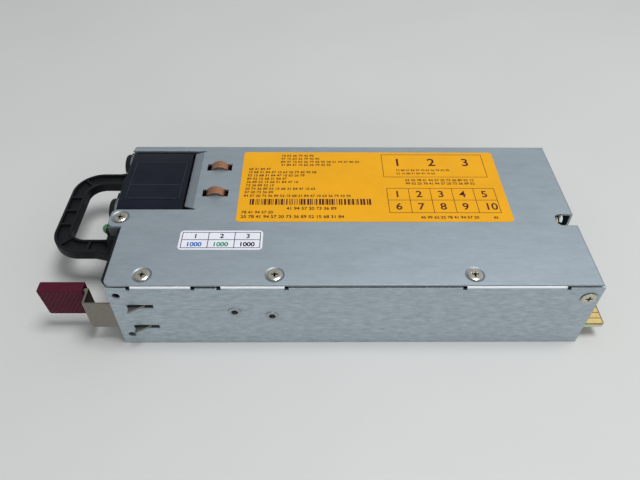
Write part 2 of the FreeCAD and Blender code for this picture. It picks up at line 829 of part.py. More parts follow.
def case_screws():
    seat = size.case_height - size.screw_sink
    screws = [screw(f"top_screw_{i}", x, y, seat, "+Z") for i, (x, y) in enumerate(TOP_SCREWS + [TAB_SCREW])]
    screws.append(screw("side_screw", SIDE_SCREW[0], NEAR + size.screw_sink, SIDE_SCREW[1], "-Y"))
    screws += [screw(f"far_screw_{i}", x, FAR - size.screw_sink, z, "+Y")
               for i, (x, z) in enumerate(FAR_SCREWS)]
    return node(group("case_screw_group", screws), "case_screws")


# ---------------------------------------------------------------- front of the case

EAR_UP = size.case_height / 2 - size.ear_inset
EAR_ACROSS = FAN_SIZE / 2 - size.ear_aside
EARS = [(side * EAR_ACROSS, up * EAR_UP) for side in (-1, 1) for up in (-1, 1)]
OPENING = size.case_height / 2 - size.opening_inset
LAMP_Y = NEAR + size.lamp_across
BEZEL_TOP = size.case_height - size.bezel_drop
WEB_TOP = size.case_height - size.web_drop
LAMP_Z = size.case_height - size.lamp_drop
HANDLE_Y = FAR_WALL - size.handle_aside
PEGS = [HANDLE_Y + (size.handle_half_width - size.handle_band / 2) * side + size.peg_shift for side in (-1, 1)]
INLET_Y = NEAR + size.inlet_across
INLET_Z = size.case_height / 2
INLET_FACE = FRONT - size.inlet_plate
BEZEL_FACE = BAY_FRONT - size.bezel_plate
PANEL_FAR = FAR_WALL - size.sheet - size.fit_gap * 2
PEG_HOLE = size.handle_peg_radius + size.fit_gap


def ground_clips():
    """Copper strips that bow up through two pairs of slots in the cover and bear on it from below."""
    half = size.clip_bow_length / 2
    radius = (half * half + size.clip_bow_rise * size.clip_bow_rise) / (size.clip_bow_rise * 2)
    middle = FRONT + size.clip_slot_start + size.clip_slot_length / 2
    width = size.clip_slot_width - size.clip_side_gap * 2
    strips = []
    for i, y in enumerate(CLIP_SLOTS):
        start = y + size.clip_side_gap
        crown_z = UNDER_COVER + size.clip_bow_rise
        arch = tube(f"clip_{i}_hoop", middle, start, crown_z - radius, radius, radius - size.clip_metal, width,
                    "+Y")
        above = block(f"clip_{i}_above", middle - half, start, UNDER_COVER - size.clip_metal,
                      half * 2, width, size.clip_bow_rise * 2)
        bow = doc.addObject("Part::Common", f"clip_{i}_bow")
        bow.Base = arch
        bow.Tool = above
        metal = size.clip_metal
        parts = []
        for k, (leg, foot, end) in enumerate((
                (middle - half, middle - half - size.clip_foot, middle - half - size.clip_foot),
                (middle + half - metal, middle + half, middle + half + size.clip_foot - metal))):
            low = UNDER_COVER - size.clip_drop
            parts.append(block(f"clip_{i}_leg_{k}", leg, start, low, metal, width, size.clip_drop))
            parts.append(block(f"clip_{i}_foot_{k}", foot, start, low, size.clip_foot, width, metal))
            parts.append(block(f"clip_{i}_end_{k}", end, start, low, metal, width, size.clip_drop))
        strips.append(fuse(f"clip_{i}", bow, *parts))
    return node(group("clip_group", strips), "ground_clips")


def fan_bracket():
    """Folded steel front of the fan bay: wall with four ears, side wing and a tongue under the cover."""
    body = new_body("fan_bracket")
    wall = sketch_on(body, "YZ_Plane", BAY_FRONT)
    rectangle(wall, BAY_NEAR, size.sheet, PANEL_FAR, WALL_TOP)
    pad(body, wall, size.sheet)
    for across, up in EARS:
        ear = sketch_on(body, "YZ_Plane", BAY_FRONT)
        circle(ear, FAN_Y + across, FAN_Z + up, size.ear_radius)
        pad(body, ear, size.sheet)
    wing = sketch_on(body, "XZ_Plane", BAY_NEAR)
    rectangle(wing, BAY_FRONT, size.sheet, FRONT + size.wing_reach, WALL_TOP)
    pad(body, wing, size.sheet)
    tongue = sketch_on(body, "XY_Plane", WALL_TOP)
    rectangle(tongue, BAY_FRONT, BAY_NEAR, FRONT + size.wing_reach, CUT_NEAR - size.sheet)
    pad(body, tongue, size.sheet)
    holes = sketch_on(body, "YZ_Plane", BAY_FRONT)
    circle(holes, FAN_Y, FAN_Z, OPENING)
    circle(holes, LAMP_Y, LAMP_Z, size.lamp_stem_radius + size.fit_gap)
    for across, up in EARS:
        circle(holes, FAN_Y + across, FAN_Z + up, size.fan_screw_radius + size.fit_gap)
    for y in PEGS:
        circle(holes, y, size.handle_height, PEG_HOLE)
    pocket(body, holes, size.sheet)
    thread = sketch_on(body, "XY_Plane", WALL_TOP)
    circle(thread, *TAB_SCREW, SCREW_HOLE)
    pocket(body, thread, size.sheet)
    return node(body, "fan_bracket")


def front_bezel():
    """Black moulding: inlet surround, side web, fan guard rings and four domed lobes over the fan's screws."""
    body = new_body("front_bezel")
    plate = sketch_on(body, "YZ_Plane", BAY_FRONT)
    rectangle(plate, BAY_NEAR, size.bezel_foot, PANEL_FAR, BEZEL_TOP)
    pad(body, plate, size.bezel_plate, towards_plus=False)
    for across, up in EARS:
        lobe = sketch_on(body, "YZ_Plane", BAY_FRONT)
        circle(lobe, FAN_Y + across, FAN_Z + up, size.ear_radius)
        pad(body, lobe, size.lobe_height, towards_plus=False)
    front_of_lobes = BAY_FRONT - size.lobe_height
    round_edges(body, size.lobe_rounding, lambda edge: edge.Curve.TypeId == "Part::GeomCircle"
                and lies_at(edge, "x", front_of_lobes))
    edge_y = BAY_NEAR - size.fit_gap
    web = sketch_on(body, "YZ_Plane", BEZEL_FACE)
    rectangle(web, NEAR + size.web_near, size.bezel_foot, edge_y, WEB_TOP)
    pad(body, web, FRONT - BEZEL_FACE)
    joint = sketch_on(body, "YZ_Plane", BEZEL_FACE)
    rectangle(joint, NEAR + size.web_near, size.bezel_foot, BAY_NEAR + size.bezel_plate, WEB_TOP)
    pad(body, joint, size.bezel_plate)
    surround = sketch_on(body, "YZ_Plane", FRONT)
    rectangle(surround, NEAR + size.bezel_edge, size.bezel_foot, edge_y, WALL_TOP)
    pad(body, surround, size.inlet_plate, towards_plus=False)
    cuts = sketch_on(body, "YZ_Plane", FRONT)
    rectangle(cuts, NEAR, 0, NEAR + size.bezel_near, WALL_TOP - size.bezel_lip)
    half_width = size.inlet_width / 2 + size.fit_gap
    half_height = size.inlet_height / 2 + size.fit_gap
    rectangle(cuts, INLET_Y - half_width, INLET_Z - half_height, INLET_Y + half_width, INLET_Z + half_height)
    pocket(body, cuts, size.inlet_plate, towards_plus=False)
    corner = sketch_on(body, "XY_Plane", WALL_TOP)
    lip_near = NEAR + size.bezel_edge
    outline(corner, [(INLET_FACE, lip_near), (FRONT, lip_near), (INLET_FACE, lip_near + size.inlet_plate)])
    pocket(body, corner, size.bezel_lip, towards_plus=False)
    holes = sketch_on(body, "YZ_Plane", BAY_FRONT)
    circle(holes, FAN_Y, FAN_Z, OPENING)
    circle(holes, LAMP_Y, LAMP_Z, size.lamp_stem_radius + size.fit_gap)
    for y in PEGS:
        circle(holes, y, size.handle_height, PEG_HOLE)
    pocket(body, holes, size.lobe_height + size.bezel_plate, towards_plus=False)
    for k in range(int(size.ring_count.value)):
        ring = sketch_on(body, "YZ_Plane", BAY_FRONT)
        inner = size.ring_first + size.ring_pitch * k
        circle(ring, FAN_Y, FAN_Z, inner + size.ring_width)
        circle(ring, FAN_Y, FAN_Z, inner)
        pad(body, ring, size.bezel_plate, towards_plus=False)
    reach = (OPENING + size.ring_width / 2) * math.sqrt(0.5)
    shift = size.spoke_width / 2 * math.sqrt(0.5)
    for slope in (1, -1):
        spoke = sketch_on(body, "YZ_Plane", BAY_FRONT)
        outline(spoke, [(FAN_Y - reach - shift * slope, FAN_Z - reach * slope + shift),
                        (FAN_Y - reach + shift * slope, FAN_Z - reach * slope - shift),
                        (FAN_Y + reach + shift * slope, FAN_Z + reach * slope - shift),
                        (FAN_Y + reach - shift * slope, FAN_Z + reach * slope + shift)])
        pad(body, spoke, size.bezel_plate, towards_plus=False)
    heads = sketch_on(body, "YZ_Plane", BAY_FRONT)
    for across, up in EARS:
        circle(heads, FAN_Y + across, FAN_Z + up, size.fan_screw_head + size.fit_gap)
    pocket(body, heads, size.fan_screw_height + size.fit_gap, towards_plus=False)
    return node(body, "front_bezel")


def handle():
    """A flat loop with a rimmed and ribbed recess, flared roots and two pegs through the bezel."""
    body = new_body("handle")
    low = HANDLE_Y - size.handle_half_width
    high = HANDLE_Y + size.handle_half_width
    grip = FRONT - size.handle_reach
    inner = grip + size.handle_band
    gusset = FRONT - size.gusset_reach
    under = size.handle_height - size.handle_thickness / 2
    loop = sketch_on(body, "XY_Plane", under)
    outline(loop, [(BEZEL_FACE, low - size.gusset_flare), (BEZEL_FACE, low + size.handle_band),
                   (inner, low + size.handle_band, size.handle_inner_radius),
                   (inner, high - size.handle_band, size.handle_inner_radius),
                   (BEZEL_FACE, high - size.handle_band), (BEZEL_FACE, high + size.gusset_flare),
                   (gusset, high),
                   (grip, high, size.handle_outer_radius), (grip, low, size.handle_outer_radius),
                   (gusset, low)])
    pad(body, loop, size.handle_thickness)
    top = under + size.handle_thickness
    for level in (top, under):
        round_edges(body, size.handle_edge, lambda edge: lies_at(edge, "z", level))
    feet = sketch_on(body, "XY_Plane", size.handle_height - size.handle_foot_height / 2)
    for start, end in ((low - size.gusset_flare, low + size.handle_band),
                       (high - size.handle_band, high + size.gusset_flare)):
        rectangle(feet, BEZEL_FACE - size.handle_foot, start, BEZEL_FACE, end)
    pad(body, feet, size.handle_foot_height)
    rim = size.handle_rim
    stop = BEZEL_FACE - size.handle_foot - rim
    for level, up in ((top, False), (under, True)):
        recess = sketch_on(body, "XY_Plane", level)
        outline(recess, [(stop, low + rim), (stop, low + size.handle_band - rim),
                         (inner - rim, low + size.handle_band - rim, size.handle_inner_radius + rim),
                         (inner - rim, high - size.handle_band + rim, size.handle_inner_radius + rim),
                         (stop, high - size.handle_band + rim), (stop, high - rim),
                         (grip + rim, high - rim, size.handle_outer_radius - rim),
                         (grip + rim, low + rim, size.handle_outer_radius - rim)])
        pocket(body, recess, size.handle_recess, towards_plus=up)
    ribs = sketch_on(body, "XY_Plane", top)
    half_rib = size.handle_rib / 2
    bite = rim / 2
    for k in (-1, 0, 1):
        y = HANDLE_Y + size.grip_rib_pitch * k
        rectangle(ribs, grip + bite, y - half_rib, inner - bite, y + half_rib)
    x = FRONT - size.leg_rib_reach
    rectangle(ribs, x - half_rib, low + bite, x + half_rib, low + size.handle_band - bite)
    lean = half_rib * math.sqrt(0.5)
    outer_arc = size.handle_outer_radius * (1 - math.sqrt(0.5)) + bite
    inner_arc = size.handle_band + size.handle_inner_radius * (1 - math.sqrt(0.5)) - bite
    for side, corner in ((1, low), (-1, high)):
        outline(ribs, [(grip + outer_arc - lean, corner + (outer_arc + lean) * side),
                       (grip + outer_arc + lean, corner + (outer_arc - lean) * side),
                       (grip + inner_arc + lean, corner + (inner_arc - lean) * side),
                       (grip + inner_arc - lean, corner + (inner_arc + lean) * side)])
    pad(body, ribs, size.handle_recess, towards_plus=False)
    pegs = sketch_on(body, "YZ_Plane", BEZEL_FACE)
    for y in PEGS:
        circle(pegs, y, size.handle_height, size.handle_peg_radius)
    pad(body, pegs, size.bezel_plate + size.sheet)
    return node(body, "handle")


def status_lamp():
    """Domed light pipe through the bezel and the bracket."""
    seat = BEZEL_FACE - size.lamp_collar
    dome = doc.addObject("Part::Sphere", "lamp_dome")
    bind(dome, "Radius", size.lamp_radius)
    dome.Angle1 = 0
    dome.Placement = FreeCAD.Placement(FreeCAD.Vector(), FreeCAD.Rotation(AXES["+Z"], AXES["-X"]))
    place(dome, seat, LAMP_Y, LAMP_Z)
    collar = rod("lamp_collar", seat, LAMP_Y, LAMP_Z, size.lamp_radius, size.lamp_collar, "+X")
    stem = rod("lamp_stem", BEZEL_FACE, LAMP_Y, LAMP_Z, size.lamp_stem_radius, size.lamp_stem_length, "+X")
    return node(fuse("lamp", dome, collar, stem), "status_lamp")


def pin_places():
    """Where the three pins of the inlet stand: live and neutral, then earth."""
    line = INLET_Y + size.pin_offset
    return [(line, INLET_Z + size.pin_spacing / 2), (line, INLET_Z - size.pin_spacing / 2),
            (line - size.earth_offset, INLET_Z)]


def inlet_body():
    body = new_body("inlet_body")
    outside = sketch_on(body, "YZ_Plane", INLET_FACE)
    rectangle(outside, INLET_Y - size.inlet_width / 2, INLET_Z - size.inlet_height / 2,
              INLET_Y + size.inlet_width / 2, INLET_Z + size.inlet_height / 2)
    pad(body, outside, size.inlet_depth)
    socket = sketch_on(body, "YZ_Plane", INLET_FACE)
    y0, y1 = INLET_Y - size.socket_width / 2, INLET_Y + size.socket_width / 2
    z0, z1 = INLET_Z - size.socket_height / 2, INLET_Z + size.socket_height / 2
    slant = size.socket_chamfer
    outline(socket, [(y0 + slant, z0), (y1, z0, size.socket_corner), (y1, z1, size.socket_corner),
                     (y0 + slant, z1), (y0, z1 - slant), (y0, z0 + slant)])
    pocket(body, socket, size.socket_depth)
    slots = sketch_on(body, "YZ_Plane", INLET_FACE)
    gap = size.fit_gap / 2
    for y, z in pin_places():
        rectangle(slots, y - size.pin_along / 2 - gap, z - size.pin_across / 2 - gap,
                  y + size.pin_along / 2 + gap, z + size.pin_across / 2 + gap)
    pocket(body, slots, size.inlet_depth)
    return node(body, "inlet_body")


def inlet_pins():
    tip = INLET_FACE + size.socket_depth - size.pin_length
    length = size.pin_length + size.inlet_depth - size.socket_depth + size.pin_tail
    pins = [block(f"pin_{i}", tip, y - size.pin_along / 2, z - size.pin_across / 2,
                  length, size.pin_along, size.pin_across) for i, (y, z) in enumerate(pin_places())]
    return node(group("pin_group", pins), "inlet_pins")


# ---------------------------------------------------------------- latch

RIVETS = [(FRONT + size.rivet_front_x, size.rivet_front_z), (FRONT + size.rivet_rear_x, size.rivet_rear_z)]
LATCH_FRONT = FRONT - size.latch_reach
TONGUE_NEAR = NEAR + size.cap_near + size.cap_wall + size.fit_gap


def latch_anchor():
    """The fixed rear end of the leaf spring, riveted to the inside of the wall."""
    start = FRONT + size.latch_hinge + size.hinge_slit / 2
    plate = block("anchor_plate", start, LEAF_NEAR, size.leaf_foot, FRONT + size.leaf_end - start,
                  size.leaf_thickness, size.leaf_top - size.leaf_foot)
    holes = [rod(f"anchor_hole_{i}", x, NEAR, z, size.rivet_radius + size.fit_gap, size.sheet * 4, "+Y")
             for i, (x, z) in enumerate(RIVETS)]
    return node(cut("anchor", plate, *holes), "latch_anchor")


def latch_arm():
    """The free end of the leaf: out through the front, stepped in to the cap's tongue, with two side teeth."""
    body = new_body("latch_arm")
    back = FRONT + size.latch_hinge - size.hinge_slit / 2
    metal = size.leaf_thickness
    leaf = sketch_on(body, "XY_Plane", size.leaf_foot)
    outline(leaf, [(back, LEAF_NEAR), (back, LEAF_FAR), (LATCH_FRONT + metal, LEAF_FAR),
                   (LATCH_FRONT + metal, TONGUE_NEAR + metal),
                   (LATCH_FRONT - size.tongue_length, TONGUE_NEAR + metal),
                   (LATCH_FRONT - size.tongue_length, TONGUE_NEAR), (LATCH_FRONT, TONGUE_NEAR),
                   (LATCH_FRONT, LEAF_NEAR, metal)])
    pad(body, leaf, size.leaf_top - size.leaf_foot)
    trims = sketch_on(body, "XZ_Plane", NEAR)
    tip = LATCH_FRONT - size.tongue_length
    low = size.cap_foot + size.cap_wall + size.leaf_gap
    high = size.cap_foot + size.cap_height - size.cap_wall - size.leaf_gap
    rectangle(trims, tip - metal, size.leaf_foot - metal, LATCH_FRONT - metal, low)
    rectangle(trims, tip - metal, high, LATCH_FRONT - metal, size.leaf_top + metal)
    pocket(body, trims, size.cap_near + size.cap_depth)
    for level in (size.tooth_high, size.tooth_low):
        tooth = sketch_on(body, "XY_Plane", level)
        outline(tooth, [(FRONT + size.tooth_start, LEAF_FAR),
                        (FRONT + size.tooth_start, NEAR - size.tooth_reach),
                        (FRONT + size.tooth_end, LEAF_NEAR), (FRONT + size.tooth_end, LEAF_FAR)])
        pad(body, tooth, size.tooth_thickness)
    return node(body, "latch_arm")


def latch_cap():
    """Thumb cap: a shell over the tongue, open towards the case."""
    body = new_body("latch_cap")
    outer = FRONT - size.cap_start - size.cap_length
    near = NEAR + size.cap_near
    shape = sketch_on(body, "XZ_Plane", near)
    outline(shape, [(outer + size.cap_taper, size.cap_foot, size.cap_rounding),
                    (FRONT - size.cap_start, size.cap_foot),
                    (FRONT - size.cap_start, size.cap_foot + size.cap_height),
                    (outer, size.cap_foot + size.cap_height, size.cap_rounding)])
    pad(body, shape, size.cap_depth)
    round_edges(body, size.cap_edge, lambda edge: lies_at(edge, "y", near))
    hollow = sketch_on(body, "YZ_Plane", FRONT - size.cap_start)
    rectangle(hollow, near + size.cap_wall, size.cap_foot + size.cap_wall,
              near + size.cap_depth - size.cap_wall, size.cap_foot + size.cap_height - size.cap_wall)
    pocket(body, hollow, size.cap_length - size.cap_wall, towards_plus=False)
    return node(body, "latch_cap")


def latch_rivets():
    """Two hollow rivets through the wall and the leaf, rolled over at both ends."""
    rivets = []
    for i, (x, z) in enumerate(RIVETS):
        flange = size.rivet_radius + size.rivet_flange
        outer = rod(f"rivet_{i}_outer", x, NEAR - size.rivet_flange_height, z, flange, size.rivet_flange_height,
                    "+Y")
        barrel = rod(f"rivet_{i}_barrel", x, NEAR, z, size.rivet_radius, LEAF_FAR - NEAR, "+Y")
        inner = rod(f"rivet_{i}_inner", x, LEAF_FAR, z, flange, size.rivet_flange_height, "+Y")
        bore = rod(f"rivet_{i}_bore", x, NEAR - size.sheet, z, size.rivet_bore, size.sheet * 6, "+Y")
        rivets.append(cut(f"rivet_{i}", fuse(f"rivet_{i}_blank", outer, barrel, inner), bore))
    return node(group("rivet_group", rivets), "latch_rivets")


# ---------------------------------------------------------------- fan

TUBE_START = size.sheet + size.hub_plate
STATOR_START = TUBE_START + size.sheet
CUP_START = TUBE_START + size.cup_gap
CUP_END = CUP_START + size.cup_length
BEARING_BORE = size.shaft_radius + size.shaft_play


def on_fan_axis(obj):
    """Put a piece that is built about its own X axis on the fan's axis."""
    return place(obj, BAY_FRONT, FAN_Y, FAN_Z)


def fan_frame():
    body = new_body("fan_frame")
    half = FAN_SIZE / 2
    frame = sketch_on(body, "YZ_Plane", size.sheet)
    rectangle(frame, -half, -half, half, half, size.fan_corner)
    circle(frame, 0, 0, FAN_BORE / 2)
    for across, up in EARS:
        circle(frame, across, up, size.fan_screw_radius + size.fit_gap)
    pad(body, frame, size.fan_depth)
    hub = sketch_on(body, "YZ_Plane", size.sheet)
    circle(hub, 0, 0, size.hub_radius)
    pad(body, hub, size.hub_plate)
    reach = FAN_BORE / 2 + size.strut_width / 4
    half_strut = size.strut_width / 2
    for along, across in ((reach, half_strut), (half_strut, reach)):
        strut = sketch_on(body, "YZ_Plane", size.sheet)
        rectangle(strut, -along, -across, along, across)
        pad(body, strut, size.hub_plate)
    bearing_tube = sketch_on(body, "YZ_Plane", TUBE_START)
    circle(bearing_tube, 0, 0, size.bearing_tube_radius)
    circle(bearing_tube, 0, 0, size.bearing_radius + size.fit_gap / 2)
    pad(body, bearing_tube, size.stator_length + size.sheet * 2)
    return node(on_fan_axis(body), "fan_frame")


def fan_film():
    """Black insulating sleeve round the fan."""
    body = new_body("fan_film")
    start = size.sheet + size.fit_gap
    film = sketch_on(body, "YZ_Plane", start)
    flat_near = size.film_flat_near - FAN_SIZE / 2
    flat_far = FAN_SIZE / 2 - size.film_flat_far
    for skin in (size.film, Length.of(0)):
        height = FAN_SIZE / 2 + size.fit_gap / 2 + skin
        width = FAN_SIZE / 2 + size.film_bulge + skin
        shoulder = height - size.film_fall
        corner = size.film_corner + skin
        outline(film, [(flat_near, height), (-width, shoulder, corner), (-width, -shoulder, corner),
                       (flat_near, -height), (flat_far, -height), (width, -shoulder, corner),
                       (width, shoulder, corner), (flat_far, height)])
    length = size.fan_depth - size.fit_gap
    pad(body, film, length)
    top = FAN_SIZE / 2 + size.fit_gap / 2 + size.film
    overlap = sketch_on(body, "XY_Plane", top)
    rectangle(overlap, start + size.overlap_inset_front, flat_near + size.overlap_sink,
              start + length - size.overlap_inset_rear, flat_far - size.overlap_sink, size.film_corner / 2)
    pad(body, overlap, size.film / 2)
    return node(on_fan_axis(body), "fan_film")


def fan_stator():
    """Laminated poles round the bearing tube."""
    bore = size.bearing_tube_radius + size.fit_gap / 2
    ring = tube("stator_ring", STATOR_START, 0, 0, size.stator_radius, bore, size.stator_length, "+X")
    pole_root = bore + size.sheet
    gaps = []
    for i in range(int(size.stator_poles.value)):
        gap = block(f"pole_gap_{i}", STATOR_START, -size.pole_gap / 2, pole_root, size.stator_length,
                    size.pole_gap, size.stator_radius)
        turn = doc.addObject("Part::Compound", f"pole_turn_{i}")
        turn.Links = [gap]
        rotation = FreeCAD.Rotation(AXES["+X"], 360 * i / size.stator_poles.value)
        turn.Placement = FreeCAD.Placement(FreeCAD.Vector(), rotation)
        gaps.append(turn)
    return node(on_fan_axis(cut("stator", ring, *gaps)), "fan_stator")


def fan_bearings():
    places = (TUBE_START + size.fit_gap, TUBE_START + size.stator_length + size.sheet * 2 - size.bearing_length)
    rings = [tube(f"bearing_{i}", x, 0, 0, size.bearing_radius, BEARING_BORE, size.bearing_length, "+X")
             for i, x in enumerate(places)]
    return node(on_fan_axis(group("bearing_pair", rings)), "fan_bearings")


def fan_shaft():
    shaft = rod("shaft", TUBE_START + size.fit_gap, 0, 0, size.shaft_radius,
                CUP_END - TUBE_START - size.fit_gap, "+X")
    return node(on_fan_axis(group("shaft_group", [shaft])), "fan_shaft")


def magnet_ring():
    outer = size.hub_radius - size.cup_wall - size.fit_gap / 2
    ring = tube("magnet", STATOR_START, 0, 0, outer, outer - size.magnet_wall, size.stator_length, "+X")
    return node(on_fan_axis(group("magnet_group", [ring])), "magnet_ring")


def impeller():
    """Cup with pitched blades that twist from root to tip, trimmed to the bore of the frame."""
    body = new_body("impeller")
    cup = sketch_on(body, "YZ_Plane", CUP_START)
    circle(cup, 0, 0, size.hub_radius)
    circle(cup, 0, 0, size.hub_radius - size.cup_wall)
    pad(body, cup, size.cup_length)
    end = sketch_on(body, "YZ_Plane", CUP_END - size.cup_wall)
    circle(end, 0, 0, size.hub_radius)
    circle(end, 0, 0, size.shaft_radius + size.fit_gap / 2)
    pad(body, end, size.cup_wall)
    boss = sketch_on(body, "YZ_Plane", CUP_END - size.cup_wall - size.boss_length)
    circle(boss, 0, 0, size.shaft_radius + size.cup_wall)
    circle(boss, 0, 0, size.shaft_radius + size.fit_gap / 2)
    pad(body, boss, size.boss_length)
    middle = CUP_START + size.cup_length / 2
    profiles = []
    for radius, angle in ((size.hub_radius - size.cup_wall * 0.9, size.blade_root_angle),
                          (FAN_BORE / 2, size.blade_tip_angle)):
        turn = math.radians(angle.value)
        chord = (math.cos(turn), math.sin(turn))
        profile = sketch_on(body, "XZ_Plane", radius)
        corners = []
        for along, across in ((-1, 0), (-0.3, 1), (0.4, 0.9), (1, 0), (0.4, -0.3), (-0.3, -0.2)):
            x = size.blade_chord * (along / 2 * chord[0]) - size.blade_thickness * (across / 2 * chord[1])
            z = size.blade_chord * (along / 2 * chord[1]) + size.blade_thickness * (across / 2 * chord[0])
            corners.append((middle + x, z))
        outline(profile, corners)
        profiles.append(profile)
    blade = body.newObject("PartDesign::AdditiveLoft", "Blade")
    blade.Profile = profiles[0]
    blade.Sections = [profiles[1]]
    blade.Ruled = True
    doc.recompute()
    ring = body.newObject("PartDesign::PolarPattern", "Blades")
    ring.Originals = [blade]
    axis = next(item for item in body.Origin.OriginFeatures if item.Role == "X_Axis")
    ring.Axis = (axis, [""])
    ring.Angle = 360
    bind(ring, "Occurrences", size.blade_count)
    body.Tip = ring
    trim = doc.addObject("Part::Common", "trimmed_impeller")
    trim.Base = body
    trim.Tool = rod("impeller_sweep", CUP_START - size.cup_length, 0, 0, FAN_BORE / 2 - size.blade_gap,
                    size.cup_length * 3, "+X")
    return node(on_fan_axis(trim), "impeller")


def fan_screws():
    screws = []
    for i, (across, up) in enumerate(EARS):
        head = rod(f"fan_screw_{i}_head", -size.fan_screw_height, across, up, size.fan_screw_head,
                   size.fan_screw_height, "+X")
        shank = rod(f"fan_screw_{i}_shank", 0, across, up, size.fan_screw_radius, size.fan_screw_length, "+X")
        screws.append(fuse(f"fan_screw_{i}", head, shank))
    return node(on_fan_axis(group("fan_screw_group", screws)), "fan_screws")


# ---------------------------------------------------------------- board

BOARD_START = FRONT + size.board_front
BOARD_END = REAR - size.sheet - size.board_margin
BOARD_NEAR = NEAR + size.sheet + size.board_margin
BOARD_FAR = FAR_WALL - size.sheet - size.board_margin
STANDOFFS = [(x, y) for x in (BOARD_START + size.standoff_inset_front, BOARD_END - size.standoff_inset_rear)
             for y in (BOARD_NEAR + size.standoff_inset_side, BOARD_FAR - size.standoff_inset_side)]


def main_board():
    body = new_body("main_board")
    board = sketch_on(body, "XY_Plane", BOARD_UNDER)
    tip = REAR + size.tongue_reach
    outline(board, [(BOARD_START, BOARD_NEAR), (BOARD_END, BOARD_NEAR), (BOARD_END, NEAR + size.tongue_near),
                    (tip, NEAR + size.tongue_near, size.board_corner),
                    (tip, NEAR + size.tongue_far, size.board_corner),
                    (BOARD_END, NEAR + size.tongue_far), (BOARD_END, BOARD_FAR), (BOARD_START, BOARD_FAR)])
    for x, y in STANDOFFS:
        circle(board, x, y, size.board_screw_radius + size.fit_gap)
    pad(body, board, size.board_thickness)
    return node(body, "main_board")


def edge_contacts():
    """Gilt fingers on both faces of the board's tongue."""
    start = NEAR + size.tongue_near + size.contact_first
    room = size.tongue_far.value - size.tongue_near.value - size.contact_first.value
    fingers = []
    for i in range(int(room / size.contact_pitch.value)):
        for level in (BOARD_TOP, BOARD_UNDER - size.contact_thickness):
            fingers.append(block("Finger", REAR + size.tongue_reach - size.contact_inset - size.contact_length,
                                 start + size.contact_pitch * i - size.contact_width / 2, level,
                                 size.contact_length, size.contact_width, size.contact_thickness))
    return node(group("finger_group", fingers), "edge_contacts")


def board_standoffs():
    posts = [tube(f"standoff_{i}", x, y, size.sheet, size.standoff_radius,
                  size.board_screw_radius + size.fit_gap / 2,
                  BOARD_UNDER - size.sheet) for i, (x, y) in enumerate(STANDOFFS)]
    return node(group("standoff_group", posts), "board_standoffs")


def board_screws():
    screws = []
    for i, (x, y) in enumerate(STANDOFFS):
        head = rod(f"board_screw_{i}_head", x, y, BOARD_TOP, size.board_screw_head, size.board_screw_height)
        shank = rod(f"board_screw_{i}_shank", x, y, size.sheet * 2, size.board_screw_radius,
                    BOARD_TOP - size.sheet * 2)
        screws.append(fuse(f"board_screw_{i}", head, shank))
    return node(group("board_screw_group", screws), "board_screws")


def insulating_sheet():
    body = new_body("insulating_sheet")
    lining = sketch_on(body, "XY_Plane", size.sheet)
    rectangle(lining, BOARD_START, BOARD_NEAR, BOARD_END, BOARD_FAR)
    for x, y in STANDOFFS:
        circle(lining, x, y, size.standoff_radius + size.fit_gap)
    pad(body, lining, size.lining)
    return node(body, "insulating_sheet")


# ---------------------------------------------------------------- power electronics

HEADROOM = UNDER_COVER - BOARD_TOP
SINK_HEIGHT = HEADROOM - size.sink_headroom
TRAFO_X = FRONT + size.bulk_x + size.bulk_length + size.trafo_gap
SECONDARY_X = TRAFO_X + size.trafo_length + size.winding_bulge + size.secondary_sink_gap


def rounded_case(label, x, y, z, length, width, height, radius):
    """A moulded component case with rounded upright edges."""
    body = new_body(label)
    shape = sketch_on(body, "XY_Plane", 0)
    rectangle(shape, 0, 0, length, width, radius)
    pad(body, shape, height)
    return place(body, x, y, z)


def toroid(label, x, y, radius, bore, height):
    """A ring core and the winding round it, standing flat on the board."""
    wire = size.winding
    core_z = BOARD_TOP + wire + size.fit_gap
    core = tube(f"{label}_ring", x, y, core_z, radius, bore, height)
    outer = tube(f"{label}_wrap", x, y, BOARD_TOP, radius + wire + size.fit_gap, bore - wire - size.fit_gap,
                 height + (wire + size.fit_gap) * 2)
    inside = tube(f"{label}_room", x, y, core_z - size.fit_gap, radius + size.fit_gap, bore - size.fit_gap,
                  height + size.fit_gap * 2)
    split = block(f"{label}_split", x - radius * 2, y - size.winding_split / 2, BOARD_TOP, radius * 4,
                  size.winding_split, height * 2)
    return core, cut(f"{label}_winding", outer, inside, split)


def chokes():
    cores, windings = [], []
    for i, (x, y) in enumerate(((size.choke_a_x, size.choke_y), (size.choke_b_x, size.choke_y))):
        core, winding = toroid(f"choke_{i}", FRONT + x, NEAR + y, size.choke_radius, size.choke_bore,
                               size.choke_height)
        cores.append(core)
        windings.append(winding)
    node(group("filter_core_group", cores), "filter_choke_cores")
    node(group("filter_winding_group", windings), "filter_choke_windings")
    core, winding = toroid("boost", FRONT + size.boost_x, NEAR + size.boost_y, size.boost_radius,
                           size.boost_bore,
                           size.boost_height)
    node(core, "boost_choke_core")
    node(winding, "boost_choke_winding")


def filter_capacitor():
    return node(rounded_case("filter_capacitor", FRONT + size.xcap_x, NEAR + size.xcap_y, BOARD_TOP,
                             size.xcap_length,
                             size.xcap_width, size.xcap_height, size.case_rounding), "filter_capacitor")


def mains_fuse():
    x, y, z = FRONT + size.fuse_x, NEAR + size.fuse_y, BOARD_TOP + size.fuse_radius + size.fit_gap * 2
    barrel = rod("fuse_barrel", x, y, z, size.fuse_radius, size.fuse_length, "+X")
    caps = [tube(f"fuse_cap_{i}", x + start, y, z, size.fuse_radius + size.fit_gap * 2,
                 size.fuse_radius + size.fit_gap / 4, size.fuse_cap, "+X")
            for i, start in enumerate((Length.of(0), size.fuse_length - size.fuse_cap))]
    return node(group("fuse_group", [barrel, *caps]), "mains_fuse")


